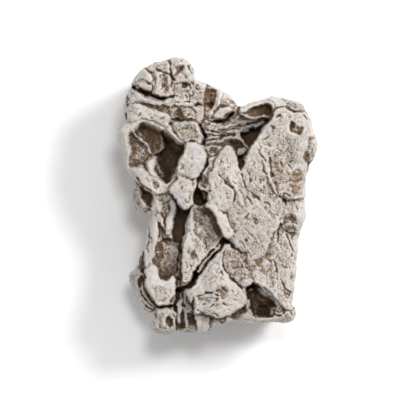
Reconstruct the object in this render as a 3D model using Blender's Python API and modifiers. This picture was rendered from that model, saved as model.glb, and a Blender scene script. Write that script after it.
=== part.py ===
"""Iron meteorite: one rugged stone-sized nugget of pale metal, lying on its broad back.

The front is a relief of plates, lumps, hollows and cracks, set out in the pixels of the photograph it
follows and turned into real sizes by PIXEL. The sides and the back are broken into plates of their own.
Places are in metres on the mesh, and in millimetres inside the relief.
"""
import bpy
import bmesh
import numpy as np
from mathutils import Matrix

MM = 0.001
STONE_LENGTH = 0.0555            # along Y, top of the head to the lowest toe
STONE_THICKNESS = 0.0245         # along Z, resting face to the highest plate
SILHOUETTE_TOP_PIXEL = 57.5      # row of the photograph where the stone begins
SILHOUETTE_END_PIXEL = 335.0     # row where it ends
PIXEL = STONE_LENGTH / (SILHOUETTE_END_PIXEL - SILHOUETTE_TOP_PIXEL) / MM   # millimetres of stone behind one pixel
MIDDLE_PIXEL = (217.0, 195.0)    # pixel that lies over the middle of the stone

BODY_VOXEL = 0.00055             # grain of the first, smooth block
SKIN_VOXEL = 0.00045             # grain of the carved stone before its faces are thinned out
TRIANGLES = 9300                 # faces of the finished stone
REST_CUT = 0.0007                # how much is worn off the lowest lumps to give flats to rest on

FRONT_ROUND = 2.2                # millimetres, rounding of the front towards the silhouette
BACK_ROUND = 6.5                 # the same at the back
BACK_SWELL = 0.9                 # broad unevenness of the back
SIDE_START = 0.90                # share of the height above which the sides follow the silhouette
PLATE_SPACING = 8.5              # millimetres between the plates of the sides and back
PLATE_STEP = 1.3                 # how far one plate lies below another
NARROWEST_CRACK = 1.0            # a finer crack than this is left out of the solid
BASE_FLOOR = 11.0                # height of the rough ground between the plates

SILHOUETTE = [
    (163, 60), (171, 57.5), (181, 58), (190, 64), (193.5, 72), (194, 77.5), (206, 83), (217, 88), (231, 97), (237, 104.5),
    (243, 106), (252, 102.5), (262, 99.5), (271, 96.5), (280, 97), (294, 100), (303, 104), (308, 113), (312, 124),
    (314.5, 134), (317.5, 142), (316.5, 151), (311, 164), (307, 173), (305.2, 192), (305, 208), (305, 221), (299.5, 233),
    (297.5, 252), (296.5, 268), (294.5, 290), (292.5, 303), (296, 311), (295, 319), (287, 323), (277, 322), (266, 323),
    (254, 323.5), (240, 321.5), (230, 321), (224, 325), (213, 326), (208, 330.5), (197, 332.5), (184, 331.5), (174, 333),
    (162, 335), (152, 331), (150.5, 322), (155, 318), (147, 311.5), (139, 303), (133, 291), (128, 280), (128.5, 273),
    (135, 269), (139.5, 258), (143, 250), (145.5, 237), (148, 226), (148, 215), (139, 211), (132, 201), (131.5, 191),
    (135, 181.5), (128, 173.5), (125, 166), (121, 152), (117, 140), (118, 129.5), (124, 122.5), (123.5, 111), (124, 100),
    (129, 89.5), (133.5, 79), (140, 70), (150, 64.5),
]

GROUND = {
    "right_ground": dict(kind="plate", top=18.0, lean=(-0.05, 0.02), edge_round=1.2, rough=0.35,
        edge=[(238, 106), (252, 101), (268, 95), (292, 98), (308, 108), (320, 140), (314, 162),
              (308, 185), (307, 225), (300, 250), (297, 285), (299, 318), (280, 326), (240, 324),
              (226, 322), (226, 250), (225, 170), (234, 140)]),
    "band_ground": dict(kind="plate", top=14.6, lean=(-0.02, 0.0), edge_round=0.8, rough=0.9,
        edge=[(196, 78), (214, 84), (232, 96), (242, 104), (266, 100), (272, 118), (262, 132),
              (250, 150), (236, 160), (214, 160), (200, 150), (196, 120)]),
    "head_ground": dict(kind="plate", top=17.8, edge_round=1.3, rough=0.6,
        edge=[(163, 59), (171, 56), (181, 56.5), (190, 63), (194, 76), (203, 82), (204, 98), (202, 122),
              (186, 124), (160, 122), (140, 122), (124, 122), (122, 110), (122, 96), (127, 88),
              (132, 82), (135, 73), (146, 65)]),
    "cavity_ground": dict(kind="plate", top=18.4, lean=(0.04, 0.0), edge_round=1.4, rough=0.45,
        edge=[(124, 121), (135, 117.5), (147, 118.5), (156, 121.5), (164, 125), (172, 125), (180, 135),
              (187, 146), (184, 158), (178, 172), (170, 188), (160, 194), (151, 193), (142, 186),
              (131, 179), (124, 168), (117, 150), (115, 136)]),
    "column_ground": dict(kind="plate", top=15.6, lean=(0.03, 0.0), edge_round=1.2, rough=0.8,
        edge=[(131, 186), (138, 178), (152, 190), (168, 186), (178, 190), (186, 208), (186, 250),
              (180, 300), (178, 334), (150, 336), (149, 318), (160, 300), (150, 270), (144, 255),
              (144, 236), (147, 218), (136, 210), (130, 198)]),
    "bottom_ground": dict(kind="plate", top=15.4, edge_round=0.9, rough=0.8,
        edge=[(174, 285), (190, 285), (220, 290), (246, 300), (252, 322), (228, 322), (212, 326),
              (203, 332), (182, 332), (168, 336), (154, 335), (149, 322), (156, 306)]),
    "flank_ground": dict(kind="plate", top=12.8, lean=(0.25, 0.0), edge_round=1.2, rough=0.5,
        edge=[(136, 267), (141, 256), (149, 256), (160, 280), (162, 305), (156, 322), (144, 310),
              (135, 297), (128, 285), (126, 276), (129, 270)]),
    "ear_ground": dict(kind="plate", top=13.6, lean=(0.2, 0.0), edge_round=0.9, rough=0.4,
        edge=[(133, 180), (139, 179.5), (146, 186), (154, 192), (156, 202), (150, 210), (146, 214),
              (139, 212), (133, 206), (130, 196), (130, 188)]),
}

HEAD = {
    "left_block": dict(kind="plate", top=20.2, lean=(0.05, -0.03), edge_round=1.1, crown=0.7, rough=0.15,
        edge=[(130, 86), (132, 79), (136, 72), (142, 68), (149, 70), (152, 76), (152.5, 86), (150, 91),
              (142, 89), (136, 85)]),
    "centre_block": dict(kind="plate", top=20.0, edge_round=1, crown=0.7, rough=0.3,
        edge=[(147, 66), (155, 62), (163, 59.5), (168, 61), (170, 70), (172, 80), (173, 92), (167, 97),
              (159, 98), (152, 94), (153, 84), (152, 75)]),
    "right_block": dict(kind="plate", top=20.0, lean=(-0.08, 0.0), edge_round=1.1, crown=0.8, rough=0.3,
        edge=[(169, 57), (181, 56.5), (190, 63), (194, 77), (188, 81), (179, 80), (172, 82), (170, 70)]),
    "neck_rubble": dict(kind="plate", top=18.6, lean=(-0.04, 0.0), edge_round=0.8, rough=0.75,
        edge=[(172, 79), (180, 78), (188, 80), (195, 78), (202, 82), (202, 94), (196, 101), (186, 101),
              (177, 98), (174, 90)]),
    "crack_band": dict(kind="plate", top=19.2, lean=(0.0, 0.03), edge_round=0.8, rough=0.55,
        edge=[(125, 95), (130, 89), (137, 91), (144, 96), (152, 98), (160, 100), (172, 97), (172, 103),
              (165, 109), (157, 108), (148, 104), (138, 101), (127, 103)]),
    "shelf": dict(kind="plate", top=19.8, lean=(0.03, 0.02), edge_round=0.9, crown=0.7, rough=0.25,
        edge=[(124, 108), (131, 103), (140, 103.5), (150, 107), (160, 111.5), (168, 114.5), (169, 121),
              (163, 127), (158, 123), (150, 120), (141, 119), (134, 122), (126, 122), (122, 116)]),
    "tan_lump": dict(kind="plate", top=19.0, edge_round=0.7, crown=0.5, rough=0.5,
        edge=[(162, 104), (165, 99), (171, 97), (178, 98), (178, 104), (172, 108), (165, 109)]),
    "pale_rib": dict(kind="plate", top=19.2, edge_round=0.5, rough=0.3,
        edge=[(176, 101), (186, 101), (196, 103), (194, 107), (184, 106), (176, 105)]),
    "small_lump": dict(kind="plate", top=18.0, edge_round=0.6, crown=0.5, rough=0.45,
        edge=[(180, 107), (188, 106), (194, 109), (192, 115), (186, 113)]),
    "corner_lump": dict(kind="plate", top=18.2, edge_round=0.7, crown=0.7, rough=0.6,
        edge=[(188, 109), (196, 107), (204, 110), (204, 118), (198, 121), (191, 118)]),
    "main_crack": dict(kind="crack", depth=6.0, lip=0.15, width=[3.4, 4.6, 5.6, 6.4, 5.6, 4.4, 3.2, 1.6,
        1.5, 1.6, 1.2],
        path=[(129, 86), (134, 87), (140, 91), (146, 93.5), (152, 96), (157, 98.5), (162, 99),
              (166, 97.5), (171, 95.5), (176, 95.5), (180, 98)]),
    "lower_crack": dict(kind="crack", depth=1.8, width=[1.2, 1.8, 2.0, 2.2, 2.0, 1.2],
        path=[(127, 104), (134, 101.5), (144, 104), (153, 107), (160, 110.5), (170, 112.5)]),
    "edge_crack": dict(kind="crack", depth=1.6, width=2.2,
        path=[(126, 94), (127.5, 100), (127, 106)]),
    "dark_hollow": dict(kind="pit", floor=13.0, depth=3.0,
        edge=[(171, 110), (176, 106.5), (182, 109), (186, 115), (190, 119), (184, 120.5), (172, 121),
              (169, 116)]),
}

NECK = {
    "neck_slope": dict(kind="plate", top=15.8, lean=(-0.22, 0.05), edge_round=0.9, rough=0.15,
        edge=[(214, 85), (222, 88), (232, 95), (240, 105), (234, 109), (226, 107), (219, 108),
              (214, 111), (211, 104)]),
    "square_pit": dict(kind="pit", floor=12.2, depth=3.0, rough=0.8,
        edge=[(204, 92), (212, 89.5), (217, 92), (216, 100), (213, 108), (207, 107), (203, 101)]),
    "pebble_two": dict(kind="plate", top=17.2, lean=(0.0, 0.1), edge_round=0.7, crown=0.7, rough=0.2,
        edge=[(213, 111), (219, 108), (228, 106), (232, 109), (228, 114), (221, 118.5), (215, 117)]),
    "pebble_shade": dict(kind="crack", depth=2.6, width=[2.0, 3.2, 3.6, 4.5, 5.0, 2.0], floor=13.0,
        path=[(207, 118), (213, 119.5), (219, 120.5), (225, 117.5), (231, 112.5), (238, 109.5)]),
}

BAND = {
    "band_ridge_top": dict(kind="ridge", width=3.6, rise=2.0,
        path=[(246, 116), (238, 118), (230, 122), (220, 126), (208, 127)]),
    "band_ridge_high": dict(kind="ridge", width=5.0, rise=2.6,
        path=[(266, 119), (256, 121), (246, 122), (238, 125.5), (226, 128), (212, 128)]),
    "band_ridge_middle": dict(kind="ridge", width=3.4, rise=1.8,
        path=[(262, 123.5), (252, 125), (245, 128.5), (236, 131.5), (226, 133), (214, 133), (204, 133)]),
    "band_ridge_low": dict(kind="ridge", width=4.0, rise=1.9,
        path=[(206, 146), (215, 143.5), (222, 139.5), (229, 138), (238, 139.5), (245, 144), (248, 149)]),
    "band_groove": dict(kind="crack", depth=1.6, width=[1.2, 2.2, 2.6, 2.4, 1.8],
        path=[(251, 122.5), (244, 127), (234, 130.5), (220, 131.5), (205, 130.5)]),
    "band_lump": dict(kind="plate", top=17.0, edge_round=0.7, crown=0.7, rough=0.7,
        edge=[(203, 147), (210, 144.5), (219, 145), (218, 152), (214, 157), (208, 158), (205, 152)]),
    "v_hole": dict(kind="pit", floor=8.0, depth=6.0, wall=0.5,
        edge=[(240, 134), (243, 131), (249, 131), (252, 127), (259, 126), (266, 122.5), (263, 129),
              (258, 134.5), (254, 140), (251, 147), (246, 144), (242, 139.5)]),
}

TOP_RIGHT = {
    "top_ledge": dict(kind="plate", top=20.4, lean=(-0.05, 0.0), edge_round=0.9, rough=0.4,
        edge=[(240, 108), (252, 102), (268, 96), (280, 95.5), (292, 98.5), (304, 103), (310, 116),
              (300, 114), (288, 108), (276, 106), (268, 116), (256, 117), (244, 116)]),
    "lens_hollow": dict(kind="pit", floor=14.2, depth=3.5, rough=0.6,
        edge=[(240.5, 112), (247, 109.5), (256, 106), (264, 104), (270, 106), (272, 111), (270, 116),
              (260, 117.5), (250, 117), (244, 115)]),
}

CAVITY = {
    "cavity_shallow": dict(kind="pit", floor=13.6, depth=4.2, wall=1.4, rough=1.0,
        edge=[(134, 125), (140, 121.5), (148, 122), (157, 126.5), (165, 131), (174, 134), (182, 143),
              (184, 151), (179, 163), (172, 178), (166, 183), (157, 180), (148, 174), (141, 168),
              (132, 168), (128, 158), (127, 146), (128, 134)]),
    "cavity_deep": dict(kind="pit", floor=6.5, depth=7.0, wall=1.2, rough=0.6,
        edge=[(152, 128), (160, 130.5), (168, 132.5), (175, 136), (183, 145.5), (183, 154), (177, 166),
              (171, 178.5), (166, 182.5), (162, 176), (158, 166), (151, 158), (149, 148), (146, 138),
              (147, 131)]),
    "cavity_crest": dict(kind="ridge", width=2.4, rise=2.2,
        path=[(131, 130), (138, 137), (143, 141), (147, 146), (150, 152), (154, 158)]),
    "cavity_tooth": dict(kind="plate", top=17.6, lean=(-0.1, 0.1), edge_round=0.5, rough=0.3,
        edge=[(147, 161), (152, 158), (156, 162), (158, 171), (163, 179), (162, 184), (155, 179),
              (149, 173), (146, 167)]),
    "cavity_flank": dict(kind="plate", top=18.6, edge_round=0.8, rough=0.6,
        edge=[(130, 168), (137, 170), (145, 176), (153, 182), (162, 184), (168, 186), (160, 194),
              (151, 192), (142, 184), (134, 178)]),
    "cavity_brow": dict(kind="plate", top=19.6, edge_round=0.5, rough=0.25,
        edge=[(163, 127), (168, 124), (173, 127), (177, 135), (182, 141), (183, 145), (177, 142),
              (171, 137), (166, 133)]),
    "notch": dict(kind="crack", depth=2.8, width=[2.0, 3.4, 2.6, 1.5],
        path=[(135, 180.5), (142, 184), (149, 190), (156, 194)]),
}

FINGER = {
    "pebble": dict(kind="plate", top=20.8, edge_round=1.2, crown=1.3, rough=0.3,
        edge=[(172, 122.5), (179, 119.5), (188, 120.5), (196, 123), (200.5, 130), (202, 137), (199, 144),
              (190, 142), (182, 140), (177, 134), (172, 128)]),
    "finger_upper": dict(kind="plate", top=22.8, edge_round=1.3, crown=1.3, rough=0.2,
        edge=[(183, 147), (188, 142), (194, 141.5), (201, 146), (206.5, 154), (206, 163), (202, 171),
              (196, 178), (187, 180), (179, 178), (176, 172), (178, 164), (182, 156)]),
    "finger_side": dict(kind="plate", top=18.2, lean=(0.4, 0.1), edge_round=0.5, rough=0.2,
        edge=[(181, 158), (177, 170), (177, 177), (171, 186), (166, 189), (168, 182), (173, 172)]),
    "finger_lower": dict(kind="plate", top=21.6, lean=(0.0, 0.03), edge_round=1.2, crown=1.2, rough=0.3,
        edge=[(167, 189), (172, 182), (178, 176), (186, 178), (195, 179.5), (196, 187), (193, 198),
              (190, 206), (185, 210), (180, 206), (175, 200), (169, 195)]),
    "pebble_crack": dict(kind="crack", depth=4.5, width=[2.0, 2.6, 3.0, 3.4, 4.4, 3.6, 3.4, 3.6, 4.2, 4.0,
        3.2],
        path=[(187, 117.5), (194, 119.5), (200, 125), (203, 132), (203.5, 141), (204, 148), (208, 155),
              (207, 163), (203.5, 170), (199, 177), (197, 186)]),
    "under_pebble": dict(kind="crack", depth=3.0, width=[1.6, 2.4, 2.2, 2.8],
        path=[(183, 146), (189, 142.5), (196, 143.5), (203, 147)]),
}

TONGUE = {
    "side_upper": dict(kind="plate", top=21.6, lean=(-0.16, 0.05), edge_round=1.1, rough=0.35,
        edge=[(268, 150), (290, 156), (305, 160), (309, 170), (307, 184), (305, 194), (296, 197),
              (285, 197), (279, 189), (275, 177), (270, 166)]),
    "tongue": dict(kind="plate", top=22.3, lean=(-0.02, 0.11), edge_round=1.2, crown=0.8, rough=0.25,
        edge=[(272, 117), (276, 109), (284, 107), (291, 111), (298, 114), (307, 113), (312, 124),
              (316, 138), (318.5, 146), (314, 158), (306, 166), (294, 165), (282, 160), (273, 163),
              (276, 176), (281, 189), (285, 206), (284, 219), (278, 233), (274, 246), (263, 254),
              (253, 258.5), (244, 253.5), (236, 247), (229, 240), (222, 236.5), (219, 228), (214, 217),
              (210, 206), (203, 197), (205, 186), (203, 173), (208, 163), (213, 156), (218, 151),
              (221, 147), (226, 145), (231, 147.5), (236, 154), (239, 166), (243, 168), (246, 158),
              (251, 147), (259, 135), (266, 125)]),
    "block_pit": dict(kind="pit", depth=1.6, rough=0.9,
        edge=[(288, 124), (293, 120.5), (300, 120), (304, 124), (303, 130), (300, 133.5), (292, 131.5)]),
    "right_dent": dict(kind="pit", depth=2.6, rough=0.8,
        edge=[(305, 138), (311, 135.5), (317, 139), (318, 146), (315, 155), (310, 163), (305, 163),
              (303, 156), (305, 147)]),
    "v_notch": dict(kind="crack", depth=7.0, width=[5.0, 5.5, 4.6, 3.4, 1.6],
        path=[(246, 149), (243.5, 156), (241.5, 162), (240.5, 168), (240, 173)]),
    "pocket": dict(kind="pit", floor=11.0, depth=7.0, wall=0.7,
        edge=[(195, 187), (199, 185), (205, 187), (208, 190.5), (203, 194), (209, 201), (209, 206),
              (200, 204), (193, 204), (191, 198)]),
    "tongue_groove": dict(kind="crack", depth=1.1, width=[3.0, 4.2, 3.0, 2.0, 1.6, 1.2],
        path=[(225, 174), (228, 180), (231, 187), (234, 193), (235, 199), (234, 205)]),
    "right_furrow": dict(kind="crack", depth=1.4, width=[1.6, 2.2, 2.4, 2.2, 2.4, 2.4],
        path=[(271, 158), (272, 168), (275, 178), (279, 188), (284, 194), (286, 203)]),
}

RIGHT_SIDE = {
    "side_middle": dict(kind="plate", top=19.4, lean=(-0.2, 0.0), edge_round=0.9, rough=0.4,
        edge=[(285, 197), (295, 196), (304, 192), (307, 205), (306, 222), (300, 234), (299, 226),
              (296, 214), (290, 209), (285, 214)]),
    "side_lower": dict(kind="plate", top=18.8, lean=(-0.1, 0.02), edge_round=1, rough=0.35,
        edge=[(277, 230), (284, 225), (292, 224), (299, 236), (298, 262), (296, 290), (294, 305),
              (284, 308), (276, 298), (262, 287), (254, 281), (252, 270), (254, 260), (262, 256),
              (272, 248)]),
    "side_hollow": dict(kind="pit", depth=3.0, floor=15.6, rough=0.7,
        edge=[(284, 214), (290, 209), (296, 213), (299, 222), (292, 223), (285, 224.5), (281, 226),
              (282, 220)]),
    "under_tongue": dict(kind="pit", depth=2.2, floor=15.8, rough=0.7,
        edge=[(252, 259.5), (262, 256), (270, 250), (272, 258), (265, 259), (262, 266), (257, 266)]),
    "bottom_lip": dict(kind="plate", top=16.6, lean=(-0.02, -0.05), edge_round=0.7, rough=0.35,
        edge=[(228, 322), (232, 315.5), (243, 316.5), (252, 317), (262, 317.5), (274, 317), (282, 312),
              (292, 306), (298, 310), (297, 321), (284, 325), (262, 325.5), (240, 323.5)]),
    "lower_cavity": dict(kind="pit", floor=7.5, depth=8.0, wall=0.9,
        edge=[(246, 286), (250, 281), (256, 281), (262, 286), (270, 292), (277, 297), (278, 306),
              (276, 312), (272, 317), (260, 317.5), (252, 317), (250, 308), (248, 298), (245, 291)]),
}

LEFT_COLUMN = {
    "column_upper": dict(kind="plate", top=18.0, lean=(0.0, 0.05), edge_round=0.7, rough=0.5,
        edge=[(150, 194), (158, 192), (166, 190), (171, 197), (176, 203), (175, 212), (171, 222),
              (172, 229), (167, 236), (163, 232), (158, 222), (152, 212), (149, 203)]),
    "column_pale": dict(kind="plate", top=17.2, lean=(0.08, 0.03), edge_round=0.8, rough=0.3,
        edge=[(145, 214), (151, 210), (156, 220), (158, 230), (157, 240), (154, 252), (154, 262),
              (157, 271), (150, 268), (144, 262), (143, 248), (145, 236), (148, 222)]),
    "ear_recess": dict(kind="pit", floor=10.4, depth=2.4, rough=0.7,
        edge=[(137, 184), (143, 186), (150, 190), (155, 196), (153, 203), (149, 207), (143, 202),
              (138, 195)]),
    "column_recess": dict(kind="pit", floor=13.4, depth=3.0, wall=1.0, rough=0.7,
        edge=[(156, 242), (163, 237), (171, 238.5), (179, 244), (179, 256), (178, 270), (170, 277),
              (160, 279), (156, 271), (153, 262), (153, 252)]),
    "dark_slot": dict(kind="pit", floor=9.0, depth=6.0, wall=0.6,
        edge=[(176, 206), (182, 208), (186, 211), (192, 207), (190, 214), (187.5, 224), (185, 234),
              (181, 244), (175, 242), (168, 237), (168, 231), (172, 227), (172, 219), (175, 211)]),
}

WEDGE = {
    "wedge": dict(kind="plate", top=19.0, lean=(-0.05, -0.04), edge_round=0.7, rough=0.3,
        edge=[(191, 208), (198, 207.5), (206, 211), (212, 222), (217, 231), (222, 240), (214, 246),
              (209, 256), (202, 263), (194, 271), (191, 280), (187, 284.5), (182, 283), (180.5, 272),
              (181, 258), (182.5, 244), (186, 229), (189, 216)]),
    "wedge_tan": dict(kind="pit", depth=0.9, wall=0.6, rough=0.5,
        edge=[(192, 208), (203, 209), (211, 222), (217, 233), (220, 240), (212, 247), (207, 248),
              (203, 241), (196, 235), (191, 227)]),
    "wedge_shade": dict(kind="pit", depth=2.6, floor=15.4,
        edge=[(203, 208), (209, 212), (213, 221), (218, 230), (222, 236), (220, 240), (215, 236),
              (210, 226), (206, 216)]),
    "long_crack": dict(kind="crack", depth=5.0, width=[3.0, 3.4, 3.2, 3.2, 3.6, 4.2], floor=12.0,
        path=[(181, 241), (179.5, 252), (178.5, 262), (177.5, 272), (177, 282), (176, 290)]),
}

LOWER_PLATE = {
    "tan_plate": dict(kind="plate", top=18.8, lean=(-0.05, 0.05), edge_round=0.6, rough=0.35,
        edge=[(223, 246), (229, 243), (236, 248), (243, 254), (248, 262), (252, 272), (251, 281),
              (246, 285), (240, 288), (232, 280), (227, 272), (222, 262)]),
    "lower_plate": dict(kind="plate", top=20.8, lean=(0.03, 0.05), edge_round=1, crown=0.8, rough=0.3,
        edge=[(225, 246), (219, 252), (213, 260), (207, 268), (200, 276), (196, 284), (190, 290),
              (186, 296), (192, 302), (194, 311), (203, 314), (212, 316), (222, 318), (231, 315),
              (242, 309), (248, 302), (244, 293), (236, 284), (230, 278), (225, 268), (223, 258)]),
    "upper_diagonal": dict(kind="crack", depth=5.5, width=[3.0, 3.4, 3.6, 3.4, 3.6, 3.2], floor=11.0,
        path=[(222, 240.5), (215, 244.5), (210.5, 252), (206, 259), (200, 266), (195, 272)]),
    "lower_diagonal": dict(kind="crack", depth=5.5, width=[4.4, 3.0, 3.0, 3.4, 4.0, 5.5, 6.0], floor=11.0,
        path=[(226, 241), (220, 248), (214, 256), (208, 264), (201, 271.5), (196, 279), (190, 286)]),
    "wide_diagonal": dict(kind="crack", depth=6.0, width=[5.0, 7.5, 7.0, 6.0, 5.5], floor=10.0,
        path=[(197, 270), (194, 277), (189, 284), (182, 288), (176, 290)]),
    "junction": dict(kind="pit", depth=4.0, floor=12.0,
        edge=[(219, 240), (224, 237), (230, 240), (231, 244), (225, 247), (220, 245)]),
    "tip_crack": dict(kind="crack", depth=2.6, width=[2.6, 2.6, 2.2, 2.6],
        path=[(229, 241), (236, 247), (243, 253), (250, 259)]),
    "plate_groove": dict(kind="crack", depth=1.2, width=[1.8, 2.6, 2.6, 2.4, 2.0, 1.6],
        path=[(197, 298), (202, 294.5), (208, 292), (214, 292), (219, 296), (222, 301)]),
}

FOOT = {
    "foot": dict(kind="plate", top=19.4, edge_round=1.2, crown=1, rough=0.25,
        edge=[(145, 270), (150, 265), (156, 268), (160, 278.5), (168, 279), (174, 275), (175.5, 284),
              (174, 296), (170, 303), (163, 306), (157, 305), (152, 299), (146, 291), (144, 281)]),
    "flank_groove_one": dict(kind="crack", depth=2.0, width=[1.8, 2.4, 2.6, 2.4, 2.0, 2.0],
        path=[(143, 270), (143.5, 280), (145.5, 290), (150, 297), (155, 303), (158, 309)]),
    "under_foot": dict(kind="crack", depth=3.6, width=[3.4, 4.4, 4.4, 3.6], floor=12.5,
        path=[(156, 306.5), (162, 308), (168, 307.5), (175, 302)]),
    "foot_channel": dict(kind="crack", depth=4.5, width=[5.0, 5.0, 4.6, 5.5], floor=11.5,
        path=[(177, 289), (176, 296), (173, 302), (175, 312)]),
    "rubble": dict(kind="plate", top=18.2, edge_round=0.6, rough=0.7,
        edge=[(180, 296), (186, 291), (194, 292), (195, 302), (195, 311), (188, 312), (182, 310),
              (179, 303)]),
    "left_toe": dict(kind="plate", top=17.2, edge_round=0.9, rough=0.6,
        edge=[(153, 314), (158, 309), (168, 310.5), (175, 314), (177, 326), (174, 333), (162, 335.5),
              (153, 334), (150, 326)]),
    "toe_pit": dict(kind="pit", depth=1.6,
        edge=[(165, 317), (170, 317), (174, 321), (172, 328), (168, 329), (164, 324)]),
    "dark_toe": dict(kind="crack", depth=3.0, width=[3.4, 4.0, 4.4],
        path=[(177, 310), (177, 320), (177, 330)]),
    "tan_toe": dict(kind="pit", depth=1.6,
        edge=[(183, 312), (191, 311), (196, 318), (197, 328), (190, 330), (183, 329), (181, 320)]),
    "right_toe": dict(kind="plate", top=17.2, lean=(0.0, 0.1), edge_round=0.7, rough=0.35,
        edge=[(194, 314), (202, 313), (210, 315), (210, 324), (206, 331), (197, 333), (195, 325)]),
    "last_toe": dict(kind="plate", top=16.4, lean=(0.0, 0.1), edge_round=0.7, rough=0.4,
        edge=[(211, 317), (220, 316), (229, 314), (230, 321), (224, 326), (212, 327)]),
    "corner_hollow": dict(kind="pit", depth=2.2, rough=0.8,
        edge=[(229, 315), (236, 311), (245, 305.5), (249, 310), (244, 315), (238, 320), (230, 319)]),
}

REGIONS = (GROUND, HEAD, NECK, BAND, TOP_RIGHT, CAVITY, FINGER, TONGUE, RIGHT_SIDE, LEFT_COLUMN, WEDGE, LOWER_PLATE, FOOT)

SIDE_HOLLOWS = (
    ((20.0, -4.0, 9.0), 6.0, 2.6),
    ((17.5, -17.0, 8.0), 5.0, 2.2),
    ((17.0, 13.0, 7.0), 5.0, 2.0),
    ((6.0, -26.5, 8.0), 5.5, 2.4),
    ((-9.0, -29.0, 7.0), 4.5, 1.8),
    ((-16.0, -10.0, 6.5), 5.0, 2.4),
    ((-20.0, 8.0, 8.0), 5.5, 2.4),
    ((-19.0, 22.0, 9.0), 5.0, 2.0),
    ((-6.0, 27.0, 8.0), 5.0, 2.2),
    ((10.0, 20.0, 7.5), 5.0, 2.0),
    ((7.0, 8.0, -1.0), 5.5, 3.0),
    ((-7.0, 14.0, -1.0), 5.0, 2.6),
    ((-4.0, -6.0, -1.5), 6.0, 2.8),
    ((8.0, -15.0, -1.0), 5.5, 3.0),
    ((-8.0, -19.0, -1.0), 4.5, 2.2),
)

def lattice(ix, iy, iz, seed):
    """A fixed scatter of values from -1 to 1, one for each whole-numbered place."""
    n = (ix * 374761393 + iy * 668265263 + iz * 2147483647 + seed * 1274126177) & 0xFFFFFFFF
    n = ((n ^ (n >> 13)) * 1103515245) & 0xFFFFFFFF
    n = ((n ^ (n >> 16)) * 2654435761) & 0xFFFFFFFF
    return ((n >> 8) & 0xFFFF) / 32767.5 - 1.0


def noise(x, y, z, seed):
    """Smooth value noise, -1 to 1."""
    x, y, z = np.broadcast_arrays(x, y, z)
    corner = [np.floor(v).astype(np.int64) for v in (x, y, z)]
    share = [v - c for v, c in zip((x, y, z), corner)]
    share = [f * f * f * (f * (f * 6 - 15) + 10) for f in share]
    total = 0.0
    for step in np.ndindex(2, 2, 2):
        weight = 1.0
        for f, s in zip(share, step):
            weight = weight * (f if s else 1 - f)
        total = total + weight * lattice(*(c + s for c, s in zip(corner, step)), seed)
    return total


def layered_noise(x, y, z, seed, layers=3):
    """Noise with finer and fainter layers on top."""
    total = 0.0
    for layer in range(layers):
        size = 2.03 ** layer
        total = total + 0.5 ** layer * noise(x * size + 7.3 * layer, y * size - 3.1 * layer, z * size, seed + layer)
    return total


def smooth_step(low, high, value):
    share = np.clip((value - low) / (high - low), 0, 1)
    return share * share * (3 - 2 * share)


def from_photo(points):
    """Pixels of the photograph to millimetres on the stone."""
    pixels = np.array(points, float)
    across = (pixels[:, 0] - MIDDLE_PIXEL[0]) * PIXEL
    along = (MIDDLE_PIXEL[1] - pixels[:, 1]) * PIXEL
    return np.stack([across, along], axis=1)


def rounded(points, closed, steps=4):
    """A smooth line through the points."""
    count = len(points)
    line = []
    for i in range(count if closed else count - 1):
        neighbours = [(i + k) % count if closed else min(max(i + k, 0), count - 1) for k in (-1, 0, 1, 2)]
        a, b, c, d = (points[k] for k in neighbours)
        for t in np.arange(steps) / steps:
            bend = (c - a) * t + (2 * a - 5 * b + 4 * c - d) * t ** 2 + (3 * b - a - 3 * c + d) * t ** 3
            line.append(b + 0.5 * bend)
    if not closed:
        line.append(points[-1])
    return np.array(line)


def inside_distance(outline, x, y):
    """How far each place lies inside the closed outline, negative outside it."""
    inside = np.zeros(x.shape, bool)
    nearest = np.full(x.shape, 1e9)
    for (x1, y1), (x2, y2) in zip(outline, np.roll(outline, -1, axis=0)):
        dx, dy = x2 - x1, y2 - y1
        t = np.clip(((x - x1) * dx + (y - y1) * dy) / (dx * dx + dy * dy + 1e-12), 0, 1)
        nearest = np.minimum(nearest, (x - x1 - t * dx) ** 2 + (y - y1 - t * dy) ** 2)
        if dy:
            inside ^= ((y1 > y) != (y2 > y)) & (x < dx * (y - y1) / dy + x1)
    return np.where(inside, 1, -1) * np.sqrt(nearest)


def line_distance(path, x, y):
    """How far each place lies inside a line whose third column is its half width, and that half width."""
    deepest = np.full(x.shape, -1e9)
    half = np.zeros(x.shape)
    for (x1, y1, w1), (x2, y2, w2) in zip(path[:-1], path[1:]):
        dx, dy = x2 - x1, y2 - y1
        t = np.clip(((x - x1) * dx + (y - y1) * dy) / (dx * dx + dy * dy + 1e-12), 0, 1)
        width = w1 + (w2 - w1) * t
        depth = width - np.hypot(x - x1 - t * dx, y - y1 - t * dy)
        half = np.where(depth > deepest, width, half)
        deepest = np.maximum(depth, deepest)
    return deepest, half


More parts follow.
